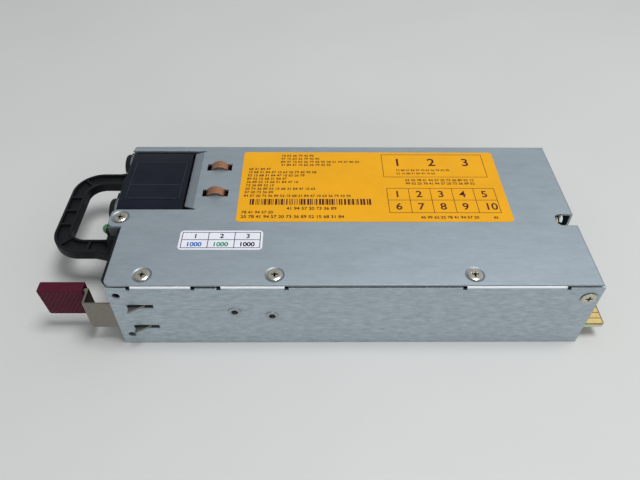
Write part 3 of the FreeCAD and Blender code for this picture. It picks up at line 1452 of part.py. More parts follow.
def bulk_capacitor():
    """Lying electrolytic can with a rolled groove near its rubber end."""
    body = new_body("bulk_capacitor")
    can = sketch_on(body, "XZ_Plane", 0)
    radius, length = (HEADROOM - size.bulk_headroom) / 2, size.bulk_length
    groove = size.bulk_groove
    outline(can, [(0, 0), (0, radius, groove), (length - groove * 4, radius),
                  (length - groove * 3, radius - groove),
                  (length - groove * 2, radius), (length, radius, groove), (length, 0)])
    turned = body.newObject("PartDesign::Revolution", "Can")
    turned.Profile = can
    axis = next(item for item in body.Origin.OriginFeatures if item.Role == "X_Axis")
    turned.ReferenceAxis = (axis, [""])
    turned.Angle = 360
    place(body, FRONT + size.bulk_x, NEAR + size.bulk_y, BOARD_TOP + radius)
    return node(body, "bulk_capacitor")


def heatsink(label, x, y, length):
    """Upright plate with a row of fins on one side."""
    body = new_body(label)
    back = sketch_on(body, "XY_Plane", 0)
    rectangle(back, 0, 0, length, size.sink_plate)
    pad(body, back, SINK_HEIGHT)
    fin = sketch_on(body, "XY_Plane", 0)
    rectangle(fin, 0, 0, size.sink_fin_width, size.sink_plate + size.sink_fin)
    first = pad(body, fin, SINK_HEIGHT)
    doc.recompute()
    row = body.newObject("PartDesign::LinearPattern", "Fins")
    row.Originals = [first]
    row.Direction = (fin, ["H_Axis"])
    count = int((length.value - size.sink_fin_width.value) / size.sink_pitch.value) + 1
    bind(row, "Length", size.sink_pitch * (count - 1))
    row.Occurrences = count
    body.Tip = row
    place(body, x, y, BOARD_TOP)
    return node(body, label)


def heatsinks():
    heatsink("primary_heatsink", FRONT + size.primary_sink_x, NEAR + size.primary_sink_y,
             size.primary_sink_length)
    heatsink("secondary_heatsink", SECONDARY_X, NEAR + size.secondary_sink_y,
             size.secondary_sink_length)


def power_switches():
    """Flat packages clamped to the plain side of the primary heatsink, and their bridge rectifier."""
    parts = []
    x0 = FRONT + size.primary_sink_x
    y0 = NEAR + size.primary_sink_y - size.switch_thickness
    for i in range(int(size.switch_count.value)):
        parts.append(rounded_case(f"switch_{i}",
                                  x0 + size.bridge_length + size.switch_pitch * i + size.sink_pitch,
                                  y0, BOARD_TOP + size.switch_lift, size.switch_width, size.switch_thickness,
                                  size.switch_height, size.small_rounding))
    node(group("switch_group", parts), "primary_switches")
    node(rounded_case("bridge", x0, y0, BOARD_TOP + size.switch_lift, size.bridge_length, size.switch_thickness,
                      size.bridge_height, size.small_rounding), "bridge_rectifier")
    parts = []
    for i in range(int(size.sync_count.value)):
        parts.append(rounded_case(f"sync_{i}", SECONDARY_X + size.sync_pitch * i,
                                  NEAR + size.secondary_sink_y - size.switch_thickness,
                                  BOARD_TOP + size.switch_lift,
                                  size.switch_width, size.switch_thickness, size.switch_height,
                                  size.small_rounding))
    node(group("sync_group", parts), "output_rectifiers")


def transformer(label, x, y, length, width, height, leg):
    """A two-window ferrite core, and the winding that fills the windows round its middle leg."""
    core = block(f"{label}_block", x, y, BOARD_TOP, length, width, height)
    window = (width - leg * 4) / 2
    opening = height - leg * 2
    windows = [block(f"{label}_window_{i}", x, y + leg + (leg * 2 + window) * i, BOARD_TOP + leg, length,
                     window, opening) for i in (0, 1)]
    core = cut(f"{label}_e_core", core, *windows)
    gap = size.fit_gap
    bulge = size.winding_bulge
    coil = block(f"{label}_coil", x - bulge, y + leg + gap, BOARD_TOP + leg + gap, length + bulge * 2,
                 width - leg * 2 - gap * 2, opening - gap * 2)
    middle = block(f"{label}_middle", x - gap, y + leg + window - gap, BOARD_TOP, length + gap * 2,
                   leg * 2 + gap * 2,
                   height)
    return core, cut(f"{label}_winding", coil, middle)


def transformers():
    core, winding = transformer("main_transformer", TRAFO_X, NEAR + size.trafo_y, size.trafo_length,
                                size.trafo_width,
                                HEADROOM - size.trafo_headroom, size.trafo_leg)
    node(core, "transformer_core")
    node(winding, "transformer_winding")
    core, winding = transformer("standby", FRONT + size.standby_x, NEAR + size.standby_y, size.standby_length,
                                size.standby_width, size.standby_height, size.standby_leg)
    node(core, "standby_core")
    node(winding, "standby_winding")


def output_choke():
    core, winding = toroid("output", REAR - size.out_choke_x, NEAR + size.out_choke_y, size.out_choke_radius,
                           size.out_choke_bore, size.out_choke_height)
    node(core, "output_choke_core")
    node(winding, "output_choke_winding")


def output_capacitors():
    cans = []
    for i in range(int(size.out_cap_count.value)):
        cans.append(rod(f"out_can_{i}", REAR - size.out_cap_x, NEAR + size.out_cap_y + size.out_cap_pitch * i,
                        BOARD_TOP, size.out_cap_radius, size.out_cap_height))
    return node(group("out_cap_group", cans), "output_capacitors")


def output_busbars():
    bars = [block(f"bar_{i}", REAR - size.busbar_x, NEAR + size.busbar_y + size.busbar_pitch * i, BOARD_TOP,
                  size.busbar_length, size.busbar_width, size.busbar_height) for i in (0, 1)]
    return node(group("busbar_group", bars), "output_busbars")


def control_board():
    return node(block("control_card", FRONT + size.control_x, NEAR + size.control_y, BOARD_TOP,
                      size.control_length,
                      size.board_thickness, HEADROOM - size.control_headroom), "control_board")


# ---------------------------------------------------------------- labels

def labels():
    """Adhesive labels on the cover: a large rating label and a small inspection label."""
    sizes = [("rating_label", size.rating_x, size.rating_y, size.rating_length, size.rating_width),
             ("inspection_label", size.inspection_x, size.inspection_y, size.inspection_length,
              size.inspection_width)]
    for label, x, y, length, width in sizes:
        node(rounded_case(label, FRONT + x, NEAR + y, size.case_height, length, width, size.label_thickness,
                          size.label_corner), label)


# ---------------------------------------------------------------- hand over

tray()
cover()
case_screws()
ground_clips()
fan_bracket()
front_bezel()
handle()
status_lamp()
inlet_body()
inlet_pins()
latch_anchor()
latch_arm()
latch_cap()
latch_rivets()
fan_frame()
fan_film()
fan_stator()
fan_bearings()
fan_shaft()
magnet_ring()
impeller()
fan_screws()
main_board()
edge_contacts()
board_standoffs()
board_screws()
insulating_sheet()
chokes()
filter_capacitor()
mains_fuse()
bulk_capacitor()
heatsinks()
power_switches()
transformers()
output_choke()
output_capacitors()
output_busbars()
control_board()
labels()

doc.recompute()
os.makedirs("parts", exist_ok=True)
for item in doc.Objects:
    if {"Invalid", "Error"} & set(item.State):
        raise RuntimeError(f"{item.Name} failed: {item.State}")
for item in doc.Objects:
    if item.isDerivedFrom("PartDesign::Pocket") and item.Shape.Volume >= item.BaseFeature.Shape.Volume - 1e-6:
        raise RuntimeError(f"{item.Name} cuts nothing")
for item in nodes:
    if item.Shape.isNull() or not item.Shape.isValid():
        raise RuntimeError(f"{item.Label} has no valid shape")
for item in nodes:
    item.Shape.exportStep(f"parts/{item.Label}.step")
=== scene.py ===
"""Looks of a hot swap server power supply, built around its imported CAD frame."""
import math
import random

import bmesh
import bpy
from mathutils import Matrix, Vector

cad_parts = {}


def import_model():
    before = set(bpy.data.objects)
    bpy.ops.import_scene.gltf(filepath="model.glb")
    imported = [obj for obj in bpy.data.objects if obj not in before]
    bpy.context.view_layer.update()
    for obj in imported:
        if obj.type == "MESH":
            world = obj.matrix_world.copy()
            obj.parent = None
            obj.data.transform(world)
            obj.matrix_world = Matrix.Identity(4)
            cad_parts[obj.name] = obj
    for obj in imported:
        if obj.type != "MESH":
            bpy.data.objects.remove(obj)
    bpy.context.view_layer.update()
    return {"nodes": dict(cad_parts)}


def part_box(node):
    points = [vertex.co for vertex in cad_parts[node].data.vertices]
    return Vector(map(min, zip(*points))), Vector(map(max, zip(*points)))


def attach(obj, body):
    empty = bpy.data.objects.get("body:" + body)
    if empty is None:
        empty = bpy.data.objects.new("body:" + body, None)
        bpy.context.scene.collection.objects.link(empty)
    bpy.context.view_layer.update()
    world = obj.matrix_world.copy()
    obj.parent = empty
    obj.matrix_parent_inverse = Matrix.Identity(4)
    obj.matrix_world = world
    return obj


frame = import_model()

MM = 0.001

# A mix node has sockets of its own for each kind of data, under the same names, so they go by number
FLOAT_FIRST, FLOAT_SECOND, FLOAT_RESULT = 2, 3, 0
COLOR_FIRST, COLOR_SECOND, COLOR_RESULT = 6, 7, 2


# ---------------------------------------------------------------- shader helpers

class Finish:
    """A node material around one Principled shader, with detail laid in the object's own metres."""

    def __init__(self, name, color, roughness, metallic=0.0, **sockets):
        self.material = bpy.data.materials.new(name)
        self.material.use_nodes = True
        self.material.diffuse_color = (*color, 1)
        self.tree = self.material.node_tree
        self.shader = self.tree.nodes["Principled BSDF"]
        self.color = color
        self.normal = None
        self.place = self.add("ShaderNodeTexCoord").outputs["Object"]
        sockets = {"Base Color": (*color, 1), "Roughness": roughness, "Metallic": metallic, **sockets}
        for socket, value in sockets.items():
            self.shader.inputs[socket].default_value = value

    def add(self, kind, **settings):
        """A new node with these settings."""
        node = self.tree.nodes.new(kind)
        for key, value in settings.items():
            setattr(node, key, value)
        return node

    def link(self, source, target):
        self.tree.links.new(source, target)

    def stretched(self, stretch):
        """The place on the object, scaled along each axis."""
        mapping = self.add("ShaderNodeMapping")
        mapping.inputs["Scale"].default_value = stretch
        self.link(self.place, mapping.inputs["Vector"])
        return mapping.outputs["Vector"]

    def noise(self, scale, detail=3.0, stretch=(1, 1, 1), roughness=0.55):
        """Noise value with the given size of grain, drawn out along the axes by stretch."""
        texture = self.add("ShaderNodeTexNoise")
        texture.inputs["Scale"].default_value = scale
        texture.inputs["Detail"].default_value = detail
        texture.inputs["Roughness"].default_value = roughness
        self.link(self.stretched(stretch), texture.inputs["Vector"])
        return texture.outputs["Fac"]

    def waves(self, scale, axis, distortion):
        """Bands across an axis."""
        texture = self.add("ShaderNodeTexWave", bands_direction=axis)
        texture.inputs["Scale"].default_value = scale
        texture.inputs["Distortion"].default_value = distortion
        self.link(self.place, texture.inputs["Vector"])
        return texture.outputs["Fac"]

    def cells(self, scale, stretch):
        """Patches with a value each."""
        texture = self.add("ShaderNodeTexVoronoi")
        texture.inputs["Scale"].default_value = scale
        self.link(self.stretched(stretch), texture.inputs["Vector"])
        return texture.outputs["Color"]

    def mixed(self, first, second, share):
        """One value made of two, the second taking the given share."""
        node = self.add("ShaderNodeMix", data_type="FLOAT")
        node.inputs["Factor"].default_value = share
        self.link(first, node.inputs[FLOAT_FIRST])
        self.link(second, node.inputs[FLOAT_SECOND])
        return node.outputs[FLOAT_RESULT]

    def spread(self, value, low, high, span=(0.3, 0.7)):
        """The value's span mapped on low to high."""
        ranged = self.add("ShaderNodeMapRange")
        for socket, number in zip(("From Min", "From Max", "To Min", "To Max"), (*span, low, high)):
            ranged.inputs[socket].default_value = number
        self.link(value, ranged.inputs["Value"])
        return ranged.outputs["Result"]

    def tint(self, value, low, high, span=(0.3, 0.7)):
        """The finish's own colour, between low and high times as strong."""
        ramp = self.add("ShaderNodeMix", data_type="RGBA")
        ramp.inputs[COLOR_FIRST].default_value = (*[c * low for c in self.color], 1)
        ramp.inputs[COLOR_SECOND].default_value = (*[min(1, c * high) for c in self.color], 1)
        self.link(self.spread(value, 0, 1, span), ramp.inputs["Factor"])
        self.link(ramp.outputs[COLOR_RESULT], self.shader.inputs["Base Color"])

    def overlay(self, mask, color):
        """Another colour wherever the mask is 1. It needs a tint below it."""
        layer = self.add("ShaderNodeMix", data_type="RGBA")
        self.link(self.shader.inputs["Base Color"].links[0].from_socket, layer.inputs[COLOR_FIRST])
        layer.inputs[COLOR_SECOND].default_value = (*color, 1)
        self.link(mask, layer.inputs["Factor"])
        self.link(layer.outputs[COLOR_RESULT], self.shader.inputs["Base Color"])

    def along(self, vector, axis):
        """One coordinate of a vector."""
        parts = self.add("ShaderNodeSeparateXYZ")
        self.link(vector, parts.inputs["Vector"])
        return parts.outputs[axis]

    def lean(self):
        """How far a face looks up: 1 for straight up, 0 for one on edge, -1 for straight down."""
        return self.along(self.add("ShaderNodeTexCoord").outputs["Normal"], "Z")

    def beyond(self, axis, start, soft):
        """1 past the start along an axis, 0 before it."""
        return self.spread(self.along(self.place, axis), 0, 1, (start - soft / 2, start + soft / 2))

    def within(self, axis, low, high, soft):
        """1 between two places along an axis, 0 outside them."""
        place = self.along(self.place, axis)
        return self.both(self.spread(place, 0, 1, (low - soft / 2, low + soft / 2)),
                         self.spread(place, 1, 0, (high - soft / 2, high + soft / 2)))

    def both(self, first, second):
        """1 where both masks are 1."""
        product = self.add("ShaderNodeMath", operation="MULTIPLY")
        self.link(first, product.inputs[0])
        self.link(second, product.inputs[1])
        return product.outputs["Value"]

    def slanting(self, low, high):
        """1 on faces whose upward lean lies between low and high, such as the outside of a bend."""
        lean = self.lean()
        soft_low, soft_high = 0.05, 0.02
        return self.both(self.spread(lean, 0, 1, (low - soft_low, low + soft_low)),
                         self.spread(lean, 1, 0, (high - soft_high, high + soft_high)))

    def upright(self):
        """1 on faces that stand on edge, 0 on faces that lie flat."""
        size = self.add("ShaderNodeMath", operation="ABSOLUTE")
        self.link(self.lean(), size.inputs[0])
        return self.spread(size.outputs["Value"], 1, 0, (0.3, 0.6))

    def shine(self, value, low, high):
        """Roughness between low and high."""
        self.link(self.spread(value, low, high), self.shader.inputs["Roughness"])

    def face_along(self, normal):
        """Shades the surface along this normal."""
        self.normal = normal
        self.link(normal, self.shader.inputs["Normal"])

    def bump(self, value, height, strength):
        """Relief of this height, over the relief that is already there."""
        node = self.add("ShaderNodeBump")
        node.inputs["Distance"].default_value = height
        node.inputs["Strength"].default_value = strength
        self.link(value, node.inputs["Height"])
        if self.normal:
            self.link(self.normal, node.inputs["Normal"])
        self.face_along(node.outputs["Normal"])

    def soft_edges(self, radius):
        """Catches light along the edges as a broken edge does."""
        node = self.add("ShaderNodeBevel", samples=4)
        node.inputs["Radius"].default_value = radius
        self.face_along(node.outputs["Normal"])


def zinc(name, color, contrast, grain=(0.06, 1, 1), bend_highlight_shade=None):
    """Zinc plated sheet: fine rolling grain, faint spangle, and, when asked, painted light on each upper bend
    and pressed dish: a painted highlight where that colour is lighter, painted shade where it is darker.
    """
    finish = Finish(name, color, 0.5, metallic=0.85)
    finish.soft_edges(0.35 * MM)
    lines = finish.noise(2600, 3, grain, 0.6)
    spangle = finish.noise(420, 4, (0.6, 1, 1), 0.65)
    finish.tint(finish.mixed(lines, spangle, 0.4), 1 - contrast, 1 + contrast, (0.36, 0.64))
    # Painted light on each upper bend and pressed dish: a lighter colour paints a highlight, a darker one
    # paints shade
    if bend_highlight_shade:
        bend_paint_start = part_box("tray")[1][2] - 2 * MM
        painted_bend_light = finish.both(finish.beyond("Z", bend_paint_start, 0.3 * MM), finish.slanting(0.18, 0.96))
        finish.overlay(painted_bend_light, bend_highlight_shade)
    finish.shine(finish.noise(160, 3, (0.3, 1, 1)), 0.46, 0.55)
    finish.bump(lines, 0.004 * MM, 0.5)
    finish.bump(finish.noise(1100, 2), 0.006 * MM, 0.5)
    finish.bump(finish.noise(28, 2), 0.05 * MM, 0.2)
    return finish.material


def moulded(name, color, roughness, specular=0.5):
    """Moulded plastic: fine matt grain and slightly uneven shine."""
    finish = Finish(name, color, roughness, **{"Specular IOR Level": specular})
    finish.soft_edges(0.15 * MM)
    finish.tint(finish.noise(180), 0.85, 1.2)
    finish.shine(finish.noise(400), roughness - 0.08, roughness + 0.08)
    finish.bump(finish.noise(2600, 2), 0.02 * MM, 0.5)
    return finish.material


def bare_metal(name, color, roughness, edge):
    """What the metals share: softened edges and small uneven spots of colour."""
    finish = Finish(name, color, roughness, metallic=1.0)
    finish.soft_edges(edge)
    finish.tint(finish.noise(700), 0.92, 1.06)
    return finish


def plated(name, color, roughness=0.25, edge=0.12 * MM):
    """Solid or plated metal: uneven shine and a very fine relief."""
    finish = bare_metal(name, color, roughness, edge)
    finish.shine(finish.noise(1500), roughness - 0.05, roughness + 0.08)
    finish.bump(finish.noise(2200), 0.01 * MM, 0.2)
    return finish.material


def screw_metal(name, color):
    """Nickel plated screws, with painted shade down in their cross recesses and on all that lies below the
    heads' tops.
    """
    finish = bare_metal(name, color, 0.25, 0.12 * MM)
    skin = 0.05 * MM
    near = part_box("tray")[0][1]
    far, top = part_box("cover")[1][1:]
    painted_recess_shade = finish.both(finish.within("Z", 0, top - skin, skin),
                       finish.within("Y", near + skin, far - skin, skin))
    # Painted shade: dark in the cross recesses and everywhere lower than the heads' tops
    finish.overlay(painted_recess_shade, (0.035, 0.031, 0.026))
    finish.shine(finish.noise(1500), 0.2, 0.33)
    finish.bump(finish.noise(2200), 0.01 * MM, 0.2)
    return finish.material


def spring(name, color):
    """Spring steel: satin outside, with painted shade on the teeth's flat tops inside the case and a painted
    shadow behind the wall.
    """
    finish = bare_metal(name, color, 0.4, 0.12 * MM)
    front, near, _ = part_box("tray")[0]
    in_case = finish.beyond("X", front + 8 * MM, 1 * MM)
    painted_tooth_shade = finish.both(in_case, finish.slanting(0.8, 1.5))
    painted_wall_shadow = finish.both(in_case, finish.beyond("Y", near + 0.6 * MM, 0.2 * MM))
    # Painted shade: tooth tops darker inside the case, and a darker painted shadow behind the wall
    finish.overlay(painted_tooth_shade, (0.165, 0.169, 0.174))
    finish.overlay(painted_wall_shadow, (0.030, 0.031, 0.033))
    finish.shine(finish.noise(1500), 0.35, 0.48)
    finish.bump(finish.noise(2200), 0.01 * MM, 0.4)
    return finish.material


def wound(name, color, axis):
    """Enamelled wire laid in turns, with painted shade down in the grooves between them."""
    finish = Finish(name, color, 0.3, **{"Coat Weight": 0.6, "Coat Roughness": 0.15})
    turns = finish.waves(330, axis, 0.4)
    # Darker down between the turns: painted shade in the grooves
    finish.tint(turns, 0.45, 1.1, (0.1, 0.9))
    finish.shine(finish.noise(500), 0.22, 0.4)
    finish.bump(turns, 0.25 * MM, 0.8)
    return finish.material


def sheet_print(name, color, roughness):
    """Printed film or paper: faint mottling, tiny waviness."""
    finish = Finish(name, color, roughness, **{"Specular IOR Level": 0.25})
    finish.tint(finish.noise(90), 0.96, 1.03)
    finish.shine(finish.noise(300), roughness - 0.06, roughness + 0.08)
    finish.bump(finish.noise(60), 0.05 * MM, 0.3)
    return finish.material


def black_film():
    """Polyester film: smooth with long faint ripples."""
    finish = Finish("black_film", (0.0038, 0.0052, 0.0115), 0.3, **{"Specular IOR Level": 0.2})
    finish.soft_edges(0.15 * MM)
    finish.tint(finish.noise(60), 0.75, 1.35)
    finish.shine(finish.noise(140), 0.22, 0.40)
    finish.bump(finish.noise(45, 2, (0.6, 1, 1)), 0.35 * MM, 0.4)
    return finish.material


def board_green():
    """Solder mask over copper tracks: the tracks show as paler runs."""
    finish = Finish("board_green", (0.010, 0.19, 0.075), 0.3, **{"Coat Weight": 0.4, "Coat Roughness": 0.1})
    finish.soft_edges(0.1 * MM)
    tracks = finish.cells(190, (1, 1.6, 1))
    finish.tint(tracks, 0.75, 1.25, (0.2, 0.8))
    finish.shine(finish.noise(300), 0.22, 0.38)
    finish.bump(tracks, 0.03 * MM, 0.4)
    bare_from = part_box("edge_contacts")[0][0] + 2.4 * MM
    finish.overlay(finish.beyond("X", bare_from, 0.3 * MM), (0.12, 0.09, 0.03))
    finish.overlay(finish.upright(), (0.52, 0.49, 0.33))
    return finish.material


def lamp_green():
    """Moulded light pipe: tinted plastic that lets part of the light through."""
    finish = Finish("lamp_green", (0.06, 0.30, 0.09), 0.12, **{"Transmission Weight": 0.45, "IOR": 1.49})
    finish.tint(finish.noise(400), 0.8, 1.2)
    finish.shine(finish.noise(900), 0.08, 0.2)
    return finish.material


def ferrite(name, color):
    """Pressed core: dull and grainy."""
    finish = Finish(name, color, 0.6)
    finish.soft_edges(0.3 * MM)
    finish.tint(finish.noise(600), 0.7, 1.4)
    finish.shine(finish.noise(900), 0.5, 0.75)
    finish.bump(finish.noise(1400), 0.03 * MM, 0.6)
    return finish.material


FINISHES = {
    # The cover's upper bend radii and screw dishes get painted shade
    zinc("zinc_cover", (0.336, 0.389, 0.430), 0.06, bend_highlight_shade=(0.24, 0.275, 0.30)): ["cover"],
    # The tray's upper bend radii get a painted highlight
    zinc("zinc_tray", (0.405, 0.470, 0.510), 0.20, (0.08, 1, 1), (0.86, 0.88, 0.92)): ["tray"],
    # A darker copy of the zinc for the fan bracket: painted shade for the shadow it sits in
    zinc("zinc_bracket_painted_shade", (0.150, 0.170, 0.180), 0.08, (1, 1, 1)): ["fan_bracket"],
    screw_metal("screw_nickel", (0.60, 0.565, 0.485)): ["case_screws"],
    plated("small_nickel", (0.52, 0.485, 0.41)): ["fan_screws", "board_screws"],
    plated("rivet_zinc", (0.40, 0.44, 0.46), 0.5): ["latch_rivets"],
    plated("bright_pins", (0.66, 0.65, 0.62)): ["inlet_pins", "fan_shaft", "fan_bearings", "board_standoffs"],
    plated("copper_strip", (0.52, 0.25, 0.15), 0.36): ["ground_clips", "output_busbars"],
    spring("spring_steel", (0.25, 0.232, 0.203)): ["latch_anchor", "latch_arm"],
    plated("hard_gold", (0.86, 0.64, 0.28), 0.34, 0.02 * MM): ["edge_contacts"],
    plated("lamination", (0.25, 0.25, 0.24), 0.5): ["fan_stator"],
    plated("drawn_aluminium", (0.62, 0.63, 0.64), 0.4): ["primary_heatsink", "secondary_heatsink"],
    moulded("bezel_black", (0.0055, 0.0063, 0.0075), 0.5, 0.17): ["front_bezel", "handle", "inlet_body"],
    moulded("fan_black", (0.009, 0.009, 0.010), 0.46, 0.2): ["fan_frame", "impeller"],
    moulded("package_black", (0.018, 0.018, 0.019), 0.6): ["primary_switches", "bridge_rectifier",
                                                           "output_rectifiers"],
    moulded("cap_burgundy", (0.060, 0.0055, 0.017), 0.55, 0.12): ["latch_cap"],
    moulded("filter_case", (0.50, 0.38, 0.04), 0.4): ["filter_capacitor"],
    moulded("can_sleeve", (0.010, 0.012, 0.030), 0.3): ["bulk_capacitor", "output_capacitors"],
    moulded("fuse_ceramic", (0.66, 0.64, 0.58), 0.3): ["mains_fuse"],
    moulded("lining", (0.02, 0.02, 0.02), 0.35): ["insulating_sheet"],
    ferrite("ferrite_grey", (0.035, 0.035, 0.037)): ["magnet_ring", "transformer_core", "standby_core",
                                                     "filter_choke_cores"],
    ferrite("powder_core", (0.30, 0.26, 0.03)): ["boost_choke_core", "output_choke_core"],
    wound("wire_flat", (0.42, 0.13, 0.04), "X"): ["transformer_winding", "standby_winding",
                                                  "filter_choke_windings"],
    wound("wire_ring", (0.42, 0.13, 0.04), "Y"): ["boost_choke_winding", "output_choke_winding"],
    black_film(): ["fan_film"],
    board_green(): ["main_board", "control_board"],
    lamp_green(): ["status_lamp"],
    sheet_print("amber_print", (0.655, 0.305, 0.0015), 0.42): ["rating_label"],
    sheet_print("white_print", (0.62, 0.63, 0.69), 0.45): ["inspection_label"],
}

for finish, names in FINISHES.items():
    for name in names:
        node = frame["nodes"][name]
        for slot in node.material_slots:
            slot.material = finish


# ---------------------------------------------------------------- geometry helpers

def piece(name, mesh, finish, body):
    """A visible piece that moves with a body and has a material slot of its own."""
    obj = bpy.data.objects.new(name, mesh)
    bpy.context.scene.collection.objects.link(obj)
    mesh.materials.append(finish)
    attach(obj, body)


def mesh_of(name, build):
    """A mesh from a function that fills a bmesh."""
    shape = bmesh.new()
    build(shape)
    bmesh.ops.recalc_face_normals(shape, faces=shape.faces)
    mesh = bpy.data.meshes.new(name)
    shape.to_mesh(mesh)
    shape.free()
    return mesh


def brick(shape, low, high):
    """A closed box between two corners."""
    verts = [shape.verts.new((x, y, z))
             for z in (low[2], high[2]) for y in (low[1], high[1]) for x in (low[0], high[0])]
    for face in ((0, 2, 3, 1), (4, 5, 7, 6), (0, 1, 5, 4), (2, 6, 7, 3), (0, 4, 6, 2), (1, 3, 7, 5)):
        shape.faces.new([verts[i] for i in face])


def numerals(shape, text, x, y, z, height, weight):
    """Plain figures printed on the plane z, read from the latch side; weight thickens their strokes."""
    curve = bpy.data.curves.new("figures", "FONT")
    curve.body = text
    curve.size = height * SIZE_OF_FIGURE
    curve.extrude = INK / 2
    curve.offset = weight * height
    writer = bpy.data.objects.new("figures", curve)
    bpy.context.scene.collection.objects.link(writer)
    bpy.context.view_layer.update()
    mesh = bpy.data.meshes.new_from_object(writer.evaluated_get(bpy.context.evaluated_depsgraph_get()))
    mesh.transform(Matrix.Translation((x, y, z + INK / 2)))
    shape.from_mesh(mesh)
    bpy.data.objects.remove(writer)
    bpy.data.curves.remove(curve)
    bpy.data.meshes.remove(mesh)


# ---------------------------------------------------------------- print on the labels

INK = 0.02 * MM
# Text size over the height that its figures come out at
SIZE_OF_FIGURE = 1.38
GRID_INSET = 0.9 * MM


def ruled_frame(shape, low, high, z, line, thickness=INK):
    """Four lines round a rectangle."""
    (x0, y0), (x1, y1) = low, high
    for a, b in (((x0, y0), (x1, y0 + line)), ((x0, y1 - line), (x1, y1)),
                 ((x0, y0 + line), (x0 + line, y1 - line)), ((x1 - line, y0 + line), (x1, y1 - line))):
        brick(shape, (*a, z), (*b, z + thickness))


# Runs of figures on the rating plate: place along and up from its corner and height in mm, then groups
FIGURE_RUNS = [(17.5, 43.9, 1.5, 6), (17.5, 41.6, 1.5, 7), (17.5, 39.3, 1.5, 14), (17.5, 37.0, 1.5, 9),
               (3.0, 34.0, 1.5, 4), (2.8, 31.7, 1.5, 12), (2.7, 29.4, 1.5, 10), (2.6, 27.1, 1.5, 7),
               (2.5, 24.8, 1.5, 9), (2.4, 22.5, 1.5, 5), (2.3, 20.2, 1.5, 12), (2.2, 17.9, 1.5, 5),
               (2.0, 15.5, 1.5, 18), (21.0, 7.3, 1.8, 7), (1.9, 5.0, 1.6, 5), (1.8, 2.2, 1.8, 14),
               (74.0, 26.2, 1.5, 12), (74.0, 23.9, 1.5, 12), (78.0, 1.9, 1.6, 9), (109.0, 1.9, 1.4, 1)]
# Lower left and upper right corners on the plate, in mm
PANEL = ((64.5, 29.0), (112.0, 45.6))
TABLE = ((65.0, 5.4), (113.0, 21.4))


def figure_run(start, groups):
    """Two-figure groups that stand for a line of small print and say nothing."""
    return " ".join(str((start * 37 + k * 53) % 90 + 10) for k in range(groups))


def rating_print(shape):
    """Generic plate: runs of figures, a ruled panel and a numbered table."""
    low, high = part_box("rating_label")
    z = high[2]
    line = 0.25 * MM
    panel_figure, table_figure, small_figure = 5.4 * MM, 4.2 * MM, 1.3 * MM

    def place(x, y):
        return low[0] + x * MM, low[1] + y * MM

    for k, (x, y, height, groups) in enumerate(FIGURE_RUNS):
        numerals(shape, figure_run(k, groups), *place(x, y), z, height * MM, 0.03)
    for corner, opposite in (PANEL, TABLE):
        ruled_frame(shape, place(*corner), place(*opposite), z, line)
    (left, bottom), (right, top) = PANEL
    for k in range(3):
        x = left + (right - left) * (k + 0.34) / 3
        numerals(shape, str(k + 1), *place(x, bottom + 8.2), z, panel_figure, 0.02)
    for k, groups in enumerate((11, 8)):
        run = figure_run(k + 5, groups)
        numerals(shape, run, *place(left + 6, bottom + 4.4 - 2.4 * k), z, small_figure, 0.025)
    (left, bottom), (right, top) = TABLE
    columns = 5
    width, rise = (right - left) / columns, (top - bottom) / 2
    x, y = place(left, bottom + rise)
    brick(shape, (x, y, z), (place(right, bottom)[0], y + line, z + INK))
    for k in range(columns * 2):
        column, row = k % columns, k // columns
        x, y = left + width * column, bottom + rise * (1 - row)
        if column:
            start_x, start_y = place(x, y)
            brick(shape, (start_x, start_y, z), (start_x + line, place(x, y + rise)[1], z + INK))
        numerals(shape, str(k + 1), *place(x + width * 0.32, y + 2.1), z, table_figure, 0.02)


def bar_field(shape):
    """Bars of a few widths and gaps, coding nothing."""
    low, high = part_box("rating_label")
    source = random.Random(7)
    x, end = low[0] + 5 * MM, low[0] + 57 * MM
    bottom, top = low[1] + 10.4 * MM, low[1] + 14.2 * MM
    while x < end:
        width = source.choice((0.3, 0.3, 0.6, 0.9)) * MM
        brick(shape, (x, bottom, high[2]), (x + width, top, high[2] + INK))
        x += width + source.choice((0.35, 0.35, 0.7)) * MM


def inspection_cell(column):
    """Left edge of a column of the inspection grid, and its width."""
    low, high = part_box("inspection_label")
    width = (high[0] - low[0] - 2 * GRID_INSET) / 3
    return low[0] + GRID_INSET + width * column, width


def inspection_print(shape):
    """A ruled grid of three columns and two rows, numbered along the top."""
    low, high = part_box("inspection_label")
    z = high[2]
    line = 0.3 * MM
    x0, y0, x1, y1 = low[0] + GRID_INSET, low[1] + GRID_INSET, high[0] - GRID_INSET, high[1] - GRID_INSET
    middle = (y0 + y1) / 2
    ruled_frame(shape, (x0, y0), (x1, y1), z, line)
    brick(shape, (x0 + line, middle, z), (x1 - line, middle + line, z + INK))
    for column in range(3):
        x, width = inspection_cell(column)
        if column:
            brick(shape, (x, y0 + line, z), (x + line, y1 - line, z + INK))
        numerals(shape, str(column + 1), x + width * 0.44, middle + 1.15 * MM, z, 2.4 * MM, 0.035)
    inspection_mark(shape, 2)


def inspection_mark(shape, column):
    """The figures in the lower cell of a column."""
    low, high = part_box("inspection_label")
    x, width = inspection_cell(column)
    numerals(shape, "1000", x + width * 0.20, low[1] + 1.9 * MM, high[2], 2.3 * MM, 0.045)


